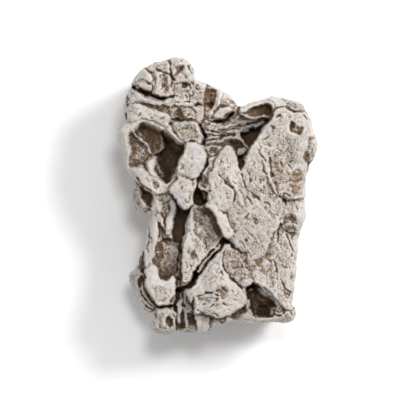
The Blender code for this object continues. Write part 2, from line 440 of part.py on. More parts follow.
class Relief:
    """Heights of the stone's front over a flat grid, in millimetres."""

    STEP = 0.15
    HALF_WIDE, HALF_LONG = 22.0, 30.0

    def __init__(self):
        across = np.arange(-self.HALF_WIDE, self.HALF_WIDE + self.STEP, self.STEP)
        along = np.arange(-self.HALF_LONG, self.HALF_LONG + self.STEP, self.STEP)
        x, y = np.meshgrid(across, along)
        self.size = (len(across), len(along))
        self.x = x + 0.16 * noise(x / 1.3, y / 1.3, 0.0, 11)
        self.y = y + 0.16 * noise(x / 1.3, y / 1.3, 0.0, 13)
        self.height = BASE_FLOOR + 0.8 * layered_noise(x / 2.2, y / 2.2, 0.0, 3)
        self.roughness = np.ones(x.shape)

    def window(self, line, margin):
        """The part of the grid around a line."""
        reach = np.array([self.HALF_WIDE, self.HALF_LONG])
        low = (line[:, :2].min(axis=0) - margin + reach) / self.STEP
        high = (line[:, :2].max(axis=0) + margin + reach) / self.STEP + 2
        (i0, j0), (i1, j1) = (np.clip(v, 0, self.size).astype(int) for v in (low, high))
        return np.s_[j0:j1, i0:i1]

    def plate(self, edge, top, lean=(0, 0), edge_round=0.7, crown=0.0, rough=0.25, wall=9.0, blend=0.25):
        """A raised plate with rounded edges and steep sides, joined to what is there."""
        line = rounded(from_photo(edge), True)
        part = self.window(line, 0.4 + 18 / wall)
        x, y = self.x[part], self.y[part]
        inside = inside_distance(line, x, y)
        middle = line.mean(axis=0)
        height = top + lean[0] * (x - middle[0]) + lean[1] * (y - middle[1])
        shoulder = edge_round - np.clip(inside, 0, edge_round)
        height = height - 0.8 * (edge_round - np.sqrt(edge_round ** 2 - shoulder ** 2))
        height = height - crown * (1 - np.clip(inside / max(inside.max(), 0.1), 0, 1)) ** 2
        height = np.where(inside < 0, height + inside * wall, height)
        before = self.height[part]
        share = np.clip(0.5 + 0.5 * (height - before) / blend, 0, 1)
        self.height[part] = before * (1 - share) + height * share + blend * share * (1 - share)
        self.roughness[part] += (rough - self.roughness[part]) * share

    def sink(self, part, share, depth, floor):
        """Lowers the grid by a depth, and down to a floor where one is given."""
        lowered = self.height[part] - depth * share
        if floor is not None:
            lowered = lowered * (1 - share) + np.minimum(lowered, floor) * share
        self.height[part] = lowered

    def pit(self, edge, depth=1.0, wall=0.8, rough=0.8, floor=None):
        """A hollow with sloping walls."""
        line = rounded(from_photo(edge), True)
        part = self.window(line, 1.2)
        inside = inside_distance(line, self.x[part], self.y[part])
        share = smooth_step(0, wall, inside)
        self.sink(part, share, depth, floor)
        self.roughness[part] += (rough - self.roughness[part]) * share

    def crack(self, path, width=1.5, depth=1.5, lip=0.0, floor=None):
        """A narrow cut along a line, its width given in pixels."""
        half = np.full(len(path), width) * PIXEL / 2
        half = np.maximum(half, NARROWEST_CRACK / 2)
        line = rounded(np.column_stack([from_photo(path), half]), False)
        part = self.window(line, 1.2)
        inside, half = line_distance(line, self.x[part], self.y[part])
        share = smooth_step(-0.1, 0.7 * half, inside)
        self.sink(part, share, depth, floor)
        self.height[part] += lip * np.exp(-((inside + 0.3) / 0.25) ** 2)

    def ridge(self, path, width=2.0, rise=0.5):
        """A raised cord of metal along a line."""
        half = np.full(len(path), width) * PIXEL / 2
        line = rounded(np.column_stack([from_photo(path), half]), False)
        part = self.window(line, 1.2)
        inside, half = line_distance(line, self.x[part], self.y[part])
        self.height[part] += rise * np.sqrt(np.clip((inside + 0.1) / (half + 0.1), 0, 1))

    def look_up(self, x, y):
        """Height at any place, read between the grid's points."""
        u = np.clip((x + self.HALF_WIDE) / self.STEP, 0, self.size[0] - 1.001)
        v = np.clip((y + self.HALF_LONG) / self.STEP, 0, self.size[1] - 1.001)
        i, j = u.astype(int), v.astype(int)
        u, v = u - i, v - j
        low = self.height[j, i] * (1 - u) + self.height[j, i + 1] * u
        high = self.height[j + 1, i] * (1 - u) + self.height[j + 1, i + 1] * u
        return low * (1 - v) + high * v


def front_relief():
    """The front as the photograph shows it, region by region."""
    relief = Relief()
    for region in REGIONS:
        for feature in region.values():
            feature = dict(feature)
            getattr(relief, feature.pop("kind"))(**feature)
    relief.height += 0.22 * relief.roughness * layered_noise(relief.x / 1.6, relief.y / 1.6, 0.0, 31)
    return relief


def edge_drop(inside, radius):
    """How far a rounded edge of that radius has dropped at a distance from the silhouette."""
    shoulder = radius - np.clip(inside, 0, radius)
    return radius - np.sqrt(radius ** 2 - shoulder ** 2)


def side_plates(place):
    """How far the broken sides and back lie under the smooth block: plates of unlike height, cracks between them."""
    warp = np.stack([1.6 * noise(*(place / 6.0).T, seed) for seed in (41, 42, 43)], axis=1)
    scaled = (place + warp) / PLATE_SPACING
    cell = np.floor(scaled).astype(np.int64)
    nearest = np.full(len(place), 9.0)
    second = np.full(len(place), 9.0)
    level = np.zeros(len(place))
    for step in np.ndindex(3, 3, 3):
        corner = cell + np.array(step) - 1
        seed_place = corner + 0.5 + 0.42 * np.stack([lattice(*corner.T, s) for s in (51, 52, 53)], axis=1)
        away = scaled - seed_place
        distance = np.linalg.norm(away, axis=1)
        tilt = np.stack([lattice(*corner.T, s) for s in (61, 62, 63)], axis=1)
        height = 0.5 + 0.5 * lattice(*corner.T, 54) + 0.5 * (away * tilt).sum(axis=1)
        level = np.where(distance < nearest, height, level)
        second = np.where(distance < nearest, nearest, np.minimum(second, distance))
        nearest = np.minimum(nearest, distance)
    gap = (second - nearest) * PLATE_SPACING
    step_down = PLATE_STEP * np.clip(level, 0, 1.3)
    crack = 1.3 * (1 - smooth_step(0.1, 1.1, gap)) * smooth_step(-0.4, 0.2, noise(*(place / 9.0).T, 71))
    lumps = 0.45 * (1 + layered_noise(*(place / 3.4).T, 81))
    return step_down + crack + lumps


def side_hollows(place):
    """Thumb-sized hollows in the sides and back: centre, radius and depth in millimetres."""
    depth = np.zeros(len(place))
    for centre, radius, deepest in SIDE_HOLLOWS:
        share = np.clip(1 - (np.linalg.norm(place - np.array(centre), axis=1) / radius) ** 2, 0, 1)
        depth += deepest * share ** 1.5
    return depth


def clear_scene():
    for item in list(bpy.data.objects):
        bpy.data.objects.remove(item, do_unlink=True)


def solid_of(item):
    """The evaluated mesh of an object, as a mesh of its own."""
    graph = bpy.context.evaluated_depsgraph_get()
    return bpy.data.meshes.new_from_object(item.evaluated_get(graph), depsgraph=graph)


def remeshed(item, voxel):
    """Gives the object an even skin of small faces."""
    skin = item.modifiers.new("even skin", "REMESH")
    skin.mode = "VOXEL"
    skin.voxel_size = voxel
    swap_mesh(item, solid_of(item))


def swap_mesh(item, mesh):
    old = item.data
    item.modifiers.clear()
    item.data = mesh
    bpy.data.meshes.remove(old)


def smooth_block(collection):
    """The silhouette as a curve, drawn out to the stone's thickness."""
    outline = from_photo(SILHOUETTE) * MM
    curve = bpy.data.curves.new("silhouette", "CURVE")
    curve.dimensions = "2D"
    curve.fill_mode = "BOTH"
    curve.extrude = STONE_THICKNESS / 2
    curve.resolution_u = 3
    spline = curve.splines.new("BEZIER")
    spline.bezier_points.add(len(outline) - 1)
    spline.use_cyclic_u = True
    for point, (x, y) in zip(spline.bezier_points, outline):
        point.co = (x, y, 0.0)
        point.handle_left_type = "AUTO"
        point.handle_right_type = "AUTO"
    drawn = bpy.data.objects.new("silhouette", curve)
    collection.objects.link(drawn)
    bpy.context.view_layer.update()
    mesh = solid_of(drawn)
    bpy.data.objects.remove(drawn, do_unlink=True)
    shell = bmesh.new()
    shell.from_mesh(mesh)
    bmesh.ops.remove_doubles(shell, verts=shell.verts, dist=1e-6)
    bmesh.ops.recalc_face_normals(shell, faces=shell.faces)
    shell.to_mesh(mesh)
    shell.free()
    block = bpy.data.objects.new("meteorite", mesh)
    collection.objects.link(block)
    remeshed(block, BODY_VOXEL)
    return block


def read_places(mesh):
    """Every point of the mesh, in millimetres, and its normal."""
    places = np.empty(len(mesh.vertices) * 3)
    normals = np.empty(len(mesh.vertices) * 3)
    mesh.vertices.foreach_get("co", places)
    mesh.vertex_normals.foreach_get("vector", normals)
    return places.reshape(-1, 3) / MM, normals.reshape(-1, 3)


def write_places(mesh, places):
    mesh.vertices.foreach_set("co", (places * MM).ravel())
    mesh.update()


def shape_front_and_back(block, relief):
    """Stretches the block between the relief of the front and the swell of the back."""
    places, _ = read_places(block.data)
    x, y, z = places.T
    inside = inside_distance(rounded(from_photo(SILHOUETTE), True), x, y)
    share = np.clip(z * MM / STONE_THICKNESS + 0.5, 0, 1)
    front = relief.look_up(x, y) - edge_drop(inside, FRONT_ROUND)
    back = edge_drop(inside, BACK_ROUND) + BACK_SWELL * noise(x / 9.0, y / 9.0, 0.0, 91)
    places[:, 2] = back + share * (front - back)
    write_places(block.data, places)
    level = block.data.attributes.new("share", "FLOAT", "POINT")
    level.data.foreach_set("value", share)


def break_sides(block):
    """Sets the plates and hollows of the sides and back into the block, clear of the silhouette."""
    places, normals = read_places(block.data)
    share = np.empty(len(places))
    block.data.attributes["share"].data.foreach_get("value", share)
    amount = smooth_step(0, 1, (SIDE_START - share) / 0.22)
    depth = side_plates(places) + side_hollows(places)
    places -= normals * (amount * depth)[:, None]
    write_places(block.data, places)


def thinned(block, triangles):
    """Keeps the faces that the shape needs."""
    fewer = block.modifiers.new("thinned", "DECIMATE")
    fewer.ratio = triangles / sum(len(face.vertices) - 2 for face in block.data.polygons)
    fewer.use_collapse_triangulate = True
    swap_mesh(block, solid_of(block))


def rest_flat(block, cutters):
    """Wears the lowest lumps down to flats in one plane, at height zero."""
    heights = [vertex.co.z for vertex in block.data.vertices]
    level = min(heights) + REST_CUT
    block.data.transform(Matrix.Translation((0, 0, -level)))
    bpy.ops.mesh.primitive_cube_add(size=4 * STONE_LENGTH, location=(0, 0, -2 * STONE_LENGTH))
    ground = bpy.context.object
    ground.name = "ground"
    ground.hide_render = True
    ground.display_type = "WIRE"
    for home in list(ground.users_collection):
        home.objects.unlink(ground)
    cutters.objects.link(ground)
    cut = block.modifiers.new("rest", "BOOLEAN")
    cut.operation = "DIFFERENCE"
    cut.object = ground
    bpy.context.view_layer.update()
    swap_mesh(block, solid_of(block))


def centre(block):
    """Puts the middle of the stone's box over the origin."""
    corners = np.array([vertex.co for vertex in block.data.vertices])
    middle = (corners.min(axis=0) + corners.max(axis=0)) / 2
    block.data.transform(Matrix.Translation((-middle[0], -middle[1], 0)))


def pale_iron():
    """Pale nickel-iron, dulled in the hollows."""
    material = bpy.data.materials.new("pale iron")
    material.use_nodes = True
    shader = material.node_tree.nodes["Principled BSDF"]
    shader.inputs["Base Color"].default_value = (0.62, 0.57, 0.51, 1.0)
    shader.inputs["Metallic"].default_value = 0.45
    shader.inputs["Roughness"].default_value = 0.55
    return material


def main():
    clear_scene()
    parts = bpy.data.collections.new("meteorite")
    cutters = bpy.data.collections.new("cutters")
    for collection in (parts, cutters):
        bpy.context.scene.collection.children.link(collection)
    stone = smooth_block(parts)
    shape_front_and_back(stone, front_relief())
    break_sides(stone)
    remeshed(stone, SKIN_VOXEL)
    thinned(stone, TRIANGLES)
    rest_flat(stone, cutters)
    centre(stone)
    stone.data.materials.clear()
    stone.data.materials.append(pale_iron())
    stone.data.shade_smooth()
    stone.data.set_sharp_from_angle(angle=np.radians(40))


main()
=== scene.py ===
import math
import bpy
import bmesh
import numpy as np
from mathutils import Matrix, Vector


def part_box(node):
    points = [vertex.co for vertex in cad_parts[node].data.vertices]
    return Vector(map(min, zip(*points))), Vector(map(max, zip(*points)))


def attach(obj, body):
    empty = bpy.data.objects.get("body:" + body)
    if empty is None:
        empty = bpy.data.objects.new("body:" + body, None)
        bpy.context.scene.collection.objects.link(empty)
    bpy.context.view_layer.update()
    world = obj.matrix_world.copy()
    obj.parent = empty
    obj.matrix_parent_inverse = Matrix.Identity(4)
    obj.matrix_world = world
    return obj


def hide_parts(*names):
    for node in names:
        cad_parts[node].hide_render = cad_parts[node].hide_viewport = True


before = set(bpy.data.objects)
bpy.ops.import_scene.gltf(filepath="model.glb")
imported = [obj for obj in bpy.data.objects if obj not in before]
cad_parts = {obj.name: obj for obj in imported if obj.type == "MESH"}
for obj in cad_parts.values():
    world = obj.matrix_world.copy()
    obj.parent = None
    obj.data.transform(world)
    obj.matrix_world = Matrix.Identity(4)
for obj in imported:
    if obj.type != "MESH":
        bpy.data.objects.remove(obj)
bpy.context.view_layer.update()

# The stone lies on its back. Its front is a relief set out in pixels of the photograph, heights in millimetres.
# The scene itself is in metres; inside the relief everything is in millimetres.
mm = 0.001
stoneLength = 55.5                       # head to toes
photoTop, photoEnd = 57.5, 335.0         # rows of the photograph where the stone begins and ends
pixel = stoneLength / (photoEnd - photoTop)
photoMiddle = (217.0, 195.0)             # pixel over the middle of the stone

stone = {
    "thickness": 24.5,                   # of the block before its back is worn flat
    "blockVoxel": 0.20,                  # grain of the first block
    "skinVoxel": 0.175,                  # grain of the carved stone
    "triangles": 194000,                 # faces kept on the finished stone
    "frontShare": 0.72,                  # how strongly the thinning spares the front, 0 to 1
    "baseFloor": 11.0,                   # ground between the plates
    "frontRound": 2.2,                   # rounding towards the silhouette
    "backRound": 6.5,
    "backSwell": 0.9,                    # broad unevenness of the back
    "sideStart": 0.90,                   # share of the height above which the sides keep the silhouette
    "plateSpacing": 8.5,                 # plates of the sides and back
    "plateStep": 1.3,
    "restCut": 0.7,                      # worn off the lowest lumps
    "crispness": 0.2,                    # how much the fine relief is drawn out
    "fineRelief": 0.03,                  # height of the finest grain
    "roughRelief": 0.15,                 # height of the ragged ground at full roughness
    "swell": 0.20,                       # broad unevenness of the front
    "streak": 0.09,                      # height of the streaks along the run of the metal
    "furrows": (0.17, 0.09),             # depth of the wide and the fine furrows
    "furrowStain": (0.30, 0.22),
    "pock": 0.10,
    "pockStain": 0.22,
}


# A feature is raised or sunk in the order given, by the function of its kind in Relief.
# It states only the values that differ from that function's own. Widths are in pixels, depths in millimetres.
# A feature's darkening is painted shade, laid into its cracks and holes where shade falls.
def plate(top, **look):                  # a raised plate and the height of its top
    return dict(look, kind="plate", top=top)


def pit(depth, **look):
    return dict(look, kind="pit", depth=depth)


# a crack; its third value is the painted shade that darkens its inside
def crack(depth, width, dark, path, **look):
    return dict(look, kind="crack", depth=depth, width=width, dark=dark, path=path)


def ridge(rise, width, path, **look):
    return dict(look, kind="ridge", rise=rise, width=width, path=path)


def tint(**look):                        # colour and roughness alone
    return dict(look, kind="tint")


ground = {
    "middleGround": plate(18.6, round=0.8, rough=0.8, stain=0.6, edge=[
        (186, 148), (206, 151), (216, 158), (236, 160), (236, 200), (240, 246), (226, 252), (206, 250), (186, 292),
        (181, 284), (182, 240), (186, 210), (180, 190), (180, 160)]),
    "rightGround": plate(18.8, lean=(-0.05, 0.02), round=0.8, rough=0.4, stain=0.35, edge=[
        (262, 130), (268, 118), (264, 100), (268, 95), (292, 98), (308, 108), (320, 140), (314, 162), (308, 185),
        (307, 225), (300, 250), (297, 285), (299, 318), (280, 326), (240, 324), (226, 322), (226, 250), (225, 172),
        (238, 160), (250, 150)]),
    "bandGround": plate(16.2, lean=(-0.02, 0), round=0.8, rough=1.1, stain=0.5, grain=2.4, edge=[
        (196, 78), (214, 84), (232, 96), (242, 104), (266, 100), (272, 118), (262, 132), (250, 150), (236, 160),
        (214, 160), (200, 150), (196, 120)]),
    "headGround": plate(18.7, rough=0.6, stain=0.4, edge=[
        (163, 59), (171, 56), (181, 56.5), (190, 63), (194, 76), (203, 82), (204, 98), (202, 122), (186, 124),
        (160, 122), (140, 122), (124, 122), (122, 110), (122, 96), (127, 88), (132, 82), (135, 73), (146, 65)]),
    "cavityGround": plate(19.2, lean=(0.04, 0), round=0.9, rough=0.3, stain=0.06, edge=[
        (124, 121), (135, 117.5), (147, 118.5), (156, 121.5), (164, 125), (172, 125), (180, 135), (187, 146),
        (184, 158), (178, 172), (170, 188), (160, 194), (151, 193), (142, 186), (131, 179), (124, 168), (117, 150),
        (115, 136)]),
    "columnGround": plate(16.8, lean=(0.03, 0), round=0.8, rough=0.7, stain=0.45, edge=[
        (131, 186), (138, 178), (152, 190), (168, 186), (178, 190), (186, 208), (186, 250), (180, 300), (178, 334),
        (150, 336), (149, 318), (160, 300), (150, 270), (144, 255), (144, 236), (147, 218), (136, 210), (130, 198)]),
    "bottomGround": plate(16, rough=0.8, stain=0.55, edge=[
        (174, 285), (190, 285), (220, 290), (246, 300), (252, 322), (228, 322), (212, 326), (203, 332), (182, 332),
        (168, 336), (154, 335), (149, 322), (156, 306)]),
    "flankGround": plate(13.6, lean=(0.25, 0), round=0.9, rough=0.4, stain=0.25, grain=1.2, edge=[
        (136, 267), (141, 256), (149, 256), (160, 280), (162, 305), (156, 322), (144, 310), (135, 297), (128, 285),
        (126, 276), (129, 270)]),
    "earGround": plate(13.8, lean=(0.2, 0), rough=0.3, stain=0.15, edge=[
        (133, 180), (139, 179.5), (146, 186), (154, 192), (156, 202), (150, 210), (146, 214), (139, 212), (133, 206),
        (130, 196), (130, 188)]),
}

head = {
    "leftBlock": plate(20.4, lean=(0.05, -0.03), round=0.8, crown=0.7, rough=0.3, stain=0.14, grain=1, edge=[
        (129, 88), (132, 79), (136, 72), (142, 68), (146, 68.5), (150, 73), (153, 76), (153.5, 83), (151, 90),
        (143, 90), (136, 85)]),
    "leftBlockStep": plate(20.9, lean=(0.02, -0.1), round=0.4, grain=0.9, edge=[
        (134, 82), (137, 74), (143, 70.5), (148, 72.5), (152, 76), (152, 81), (149, 83), (145, 80.5), (140, 79)]),
    "centreBlock": plate(20.2, round=0.8, crown=0.7, rough=0.7, stain=0.32, grain=1.4, edge=[
        (150, 66), (157, 62), (163, 60), (169, 63), (170.5, 72), (172, 80), (174, 92), (168, 97.5), (159, 97.5),
        (151, 94), (152, 84), (151, 75)]),
    "roofBlock": plate(20.6, lean=(0, -0.1), round=0.5, crown=0.3, rough=0.8, stain=0.42, grain=0.8, edge=[
        (145, 66), (155, 62), (163, 60), (168.5, 61), (170, 66), (169.5, 74), (163, 72), (157, 69.5), (151, 72)]),
    "rightBlock": plate(20.2, lean=(-0.08, 0), round=0.8, crown=0.8, rough=0.5, stain=0.24, grain=1.2, edge=[
        (168.5, 57), (181, 56.5), (190, 63), (194, 77), (188, 83), (179, 82), (172, 84), (170, 70)]),
    "neckRubble": plate(19.2, lean=(-0.04, 0), round=0.6, rough=0.8, stain=0.35, grain=0.8, edge=[
        (172, 81), (180, 80), (188, 80), (196, 78), (204, 83), (203, 96), (196, 103), (186, 102), (177, 102),
        (172, 94)]),
    "neckShoulder": plate(19, lean=(-0.2, 0.1), round=0.6, rough=0.2, stain=0.12, edge=[
        (190, 74), (196, 78), (206, 83), (205, 88), (202, 98), (197, 101), (196, 92), (200, 87), (194, 82),
        (188, 80)]),
    "rubbleHole": pit(1.5, stain=0.95, dark=0.2, rough=0.9, wall=0.4, edge=[
        (181.5, 83), (184, 81.5), (187, 82.5), (186.5, 86.5), (182.5, 87.5)]),
    "rubbleDrop": crack(1, [2.2, 1.6, 1], 0.7, [(182, 86), (181.5, 90), (182, 92)]),
    "rubbleRing": pit(0.7, stain=0.6, rough=0.9, wall=0.3, edge=[
        (194.5, 84.5), (197, 83.5), (199.3, 86), (199, 89), (196, 90), (194, 88)]),
    "rubbleRingKnob": plate(19.3, round=0.3, rough=0.4, stain=0.2, edge=[
        (195.8, 86), (197.3, 85.7), (197.8, 87.6), (196.2, 88.2)]),
    "rubbleCurl": crack(0.8, 1.4, 0.5, [(188, 84), (190, 87), (188.5, 90), (185.5, 91.5), (184, 89.5)]),
    "rubbleCurlTwo": crack(0.8, 1.3, 0.5, [(192, 83), (193, 87), (191, 90), (193, 93), (191, 96)]),
    "rubbleRibs": crack(0.7, 1.3, 0.4, [(181.5, 93), (182.5, 96.5), (181.5, 99.5)]),
    "rubbleRibsTwo": crack(0.7, 1.3, 0.4, [(185, 93), (186.5, 96.5), (186, 99.5)]),
    "rubbleRibsThree": crack(0.7, 1.3, 0.4, [(188.5, 93.5), (190, 97), (189.5, 99.5)]),
    "crackBand": plate(19.4, lean=(0, 0.03), round=0.6, rough=0.6, stain=0.18, speck=0.9, grain=0.6, edge=[
        (125, 96), (128, 89), (134, 88.5), (140, 94), (148, 98), (156, 101), (165, 101.5), (172, 97), (176, 96),
        (176, 102), (168, 106), (157, 105), (148, 103.5), (138, 102), (127, 104)]),
    "bandBrown": pit(0.45, wall=0.7, soft=1, stain=0.55, rough=1.4, grain=1.5, edge=[
        (134, 101), (140, 99.8), (148, 101.5), (152, 103.8), (158, 103.5), (167, 105), (170, 112), (162, 111.5),
        (155, 108), (147, 105), (139, 102.5)]),
    "tanLump": plate(19.3, round=0.6, crown=0.4, rough=0.3, stain=0.42, grain=1.2, edge=[
        (163, 101), (167, 98), (171, 96.5), (173, 99), (172.5, 105), (168, 107), (164, 106)]),
    "tanLumpPale": plate(19.4, round=0.5, crown=0.3, rough=0.2, stain=0.12, edge=[
        (171.5, 97), (174, 95.5), (177.5, 96), (178, 101), (173.5, 102.5)]),
    "shelf": plate(19.9, lean=(0.03, 0.02), crown=0.6, rough=0.45, stain=0.16, grain=1.2, speck=1, edge=[
        (124, 108), (127, 105), (132, 103), (140, 103.5), (148, 106.5), (156, 109.5), (163, 113), (169, 114.5),
        (170, 119), (165, 127), (158, 123), (150, 120), (141, 119), (134, 122), (126, 122), (122, 116)]),
    "ribLeft": ridge(0.3, 3, [(155, 72), (157, 79), (156, 86), (157, 94)], stain=0.14),
    "ribRight": ridge(0.2, 2, [(168, 76), (168.5, 83), (169.5, 90), (171, 94)], stain=0.35),
    "centreHollow": pit(0.9, wall=1.3, stain=0.62, dark=0, rough=1.1, soft=1.8, edge=[
        (156.5, 75), (161, 73.6), (167, 76), (169, 84), (169.5, 92), (166, 96), (163, 94), (161.5, 88), (159, 82)]),
    "centreHollowTop": crack(0.7, [1.4, 2.2, 1.4], 0.5, [(159, 76), (162, 75.3), (165, 76.5)]),
    "centreSplit": crack(0.6, 1.2, 0.5, [(163, 84), (161.4, 89), (160, 93.5)]),
    "roofSplit": crack(0.9, [1.6, 1.2, 1.4, 1.8], 0.6, [(157, 69), (162, 71), (166, 73.5), (169.5, 75)]),
    "leftGroove": crack(1.4, [1.8, 2.6, 2, 2.2, 2.6, 2.4, 1.6], 0.4, [
        (145, 67.5), (148.7, 71), (152, 74), (153.2, 79), (152.4, 83), (151.5, 87), (151, 91)], stain=0.8),
    "leftGrooveHook": crack(1.2, [1.4, 2.2, 1.6], 0.8, [(145.6, 81), (148.5, 83.4), (151.5, 84)]),
    "skullCrack": crack(1.9, [1.8, 2.2, 1.8, 2.2, 2.4, 2.2, 1.8, 1.8], 0.95, [
        (163, 60.3), (166, 59.3), (168.4, 61), (169.5, 65), (170, 70), (170.7, 75), (171.5, 78), (173.8, 80)]),
    "skullTail": crack(0.8, 1.4, 0.6, [(170.6, 79), (171, 84.8), (173.4, 91)]),
    "slantHollow": pit(1.3, soft=0.6, stain=0.72, rough=1, wall=0.8, edge=[
        (174.5, 69), (178, 64), (183.5, 64), (183.8, 68), (181.5, 72), (176, 76), (173, 78.5), (172.5, 75)]),
    "slantRidge": ridge(0.5, 3.2, [(184.5, 66), (187, 71), (189, 77)], stain=0.06),
    "templeDent": pit(1.3, stain=0.65, dark=0.1, rough=0.6, wall=0.4, edge=[
        (186.6, 65.5), (189, 64.5), (191.3, 68.8), (193.6, 76), (190.4, 72.5), (187.4, 69)]),
    "templeLine": crack(0.8, 1.3, 0.7, [(187, 67), (190, 71.5), (193.5, 75.8)]),
    "crownBeads": crack(0.5, 1.3, 0.4, [(180.5, 59.5), (183, 61), (186, 61.5)]),
    "paleRib": plate(19.3, round=0.4, rough=0.15, grain=0.3, edge=[
        (174, 103), (177, 101.3), (186, 101.3), (192, 102), (195, 105), (190, 107), (183, 105.6), (176, 106)]),
    "ribEnd": plate(18.6, round=0.5, crown=0.4, rough=0.3, stain=0.2, edge=[
        (168.5, 107), (172, 105), (176, 106), (175, 110), (172, 114), (169.5, 113)]),
    "smallLump": plate(18.2, round=0.6, crown=0.5, rough=0.6, stain=0.4, edge=[
        (181, 107), (188, 106), (192, 108), (191, 113), (185, 113.5)]),
    "lowLump": plate(17.8, round=0.5, crown=0.5, rough=0.8, stain=0.4, edge=[
        (184, 113), (189, 111.5), (194, 113), (195, 120), (189, 121), (185, 118)]),
    "cornerLump": plate(18.4, round=0.6, crown=0.6, rough=0.4, stain=0.18, edge=[
        (192, 107), (197, 105.5), (203, 108), (204, 116), (202, 123), (198, 122), (194, 117)]),
    "lumpSplit": crack(0.9, 1.4, 0.6, [(183, 106.5), (188, 106), (192, 108.5), (195, 113), (195, 119)]),
    "mainCrack": crack(3.4, [2.6, 5, 5.4, 6.4, 7, 6.8, 6, 4.6, 2.8, 1.6], 0.8, [
        (131.5, 86), (135, 86.8), (139, 89.8), (144, 93), (149, 94.6), (154, 96.6), (158, 98.4), (161.5, 98.7),
        (164, 98.3), (166, 97.6)], lip=0.12, stain=0.95),
    "crackTail": crack(1.6, [2.4, 2, 2, 2.2, 1.4], 0.9, [
        (163.5, 99.8), (167, 97.6), (171, 95.4), (174.5, 94.7), (178, 95.4)]),
    "thinTail": crack(0.9, [1.8, 1.6, 1.5, 1.2], 0.8, [(177.5, 101.6), (182, 100.3), (188, 100.8), (192, 100.6)]),
    "shelfPitA": crack(0.5, 1.5, 0.5, [(139, 115), (140.6, 112)]),
    "shelfPitB": crack(0.5, 1.7, 0.5, [(149, 114.8), (151, 117.5)]),
    "shelfPitC": crack(0.4, 1.4, 0.5, [(160, 118.4), (163, 117.2)]),
    "shelfPitD": crack(0.4, 1.5, 0.4, [(152, 108.5), (153, 110)]),
    "edgeCrack": crack(1.4, [1.2, 2, 2.4, 1.4], 0.9, [(126, 94.5), (126.8, 99), (127.2, 103.5), (125.8, 108)]),
    "edgeCrackLower": crack(1.4, [1.4, 2, 1.6], 0.9, [(125.2, 110), (125.8, 115), (126.5, 119.6)]),
    "darkHollow": pit(0.9, floor=17.4, stain=0.7, dark=0.1, rough=1.3, wall=1, soft=0.8, grain=1.6, edge=[
        (175, 109), (179.5, 107), (182, 112), (185, 116), (191, 119.4), (183, 120.6), (172, 120.4), (168.4, 118.8),
        (170, 116.5), (173, 114)]),
    "darkHollowFoot": crack(1.6, [2.2, 3.2, 3, 2], 0.9, [
        (170.5, 117.6), (174, 118.8), (180, 119.2), (187, 119.4)], stain=0.95),
}

neck = {
    "neckSlope": plate(16.4, lean=(-0.22, 0.05), rough=0.15, stain=0.12, grain=0.4, edge=[
        (214, 85), (222, 88), (232, 95), (240, 105), (234, 106), (226, 104), (219, 108), (214, 111), (211, 104)]),
    "slopeBrown": pit(0.3, stain=0.5, rough=0.9, edge=[
        (217, 105), (222, 103), (227, 104.5), (222, 108), (216.5, 109)]),
    "slopeRidge": ridge(0.6, 2.6, [(220, 90), (220.4, 98), (217.4, 106)], stain=0.05),
    "squarePit": pit(1.7, gold=0.7, floor=15.4, stain=0.68, rough=1.6, wall=0.8, grain=2, edge=[
        (204.5, 90.5), (210, 88.3), (216.8, 90.2), (217, 97), (214, 105.5), (211.5, 109), (207.5, 107),
        (203.6, 104.5), (203, 98)]),
    "squarePitFoot": pit(1.6, stain=0.95, dark=0.5, edge=[
        (204, 102), (208, 103), (212, 101.5), (214, 104), (211.5, 109), (207.5, 107)]),
    "raggedPit": crack(1.6, [2, 3.4, 3], 0.7, [(195.5, 105), (199.5, 104.4), (204, 106)]),
    "brownSeat": plate(16.8, round=0.6, rough=1.4, stain=0.5, grain=2, edge=[
        (200, 119), (204, 112), (208, 112), (213, 118), (213, 126), (208, 130), (202, 128)]),
    "fanCorner": plate(16.8, lean=(-0.1, 0.1), round=0.6, rough=1, stain=0.5, edge=[
        (230, 104), (237, 103.5), (242, 108), (241, 113), (234, 114), (230, 110)]),
    "pebbleOne": plate(17.3, round=0.6, crown=0.6, rough=0.4, stain=0.2, edge=[
        (207, 113.5), (210, 110), (214, 111), (214, 116), (209.5, 116.8)]),
    "pebbleTwo": plate(17.9, lean=(0, 0.1), round=0.6, crown=0.6, stain=0.08, edge=[
        (213.8, 113.5), (218.5, 109), (224.5, 106.6), (230, 106.5), (231.6, 109.3), (227, 113), (223, 117),
        (218, 119), (214, 117.4)]),
    "pebbleNick": crack(0.5, 1.3, 0.5, [(213.9, 112), (214.3, 117)]),
    "pebbleShade": pit(3, floor=12.6, stain=0.9, dark=0.65, rough=0.7, edge=[
        (213, 119.5), (218, 119.5), (223, 118), (228, 114), (231.5, 110.5), (234, 111.5), (232, 115), (228, 119),
        (223, 122), (218, 123.4), (214, 122)]),
    "pebbleShadeTail": crack(1.2, [2.6, 1.8], 0.6, [(214, 120.5), (208.5, 119.5)]),
}

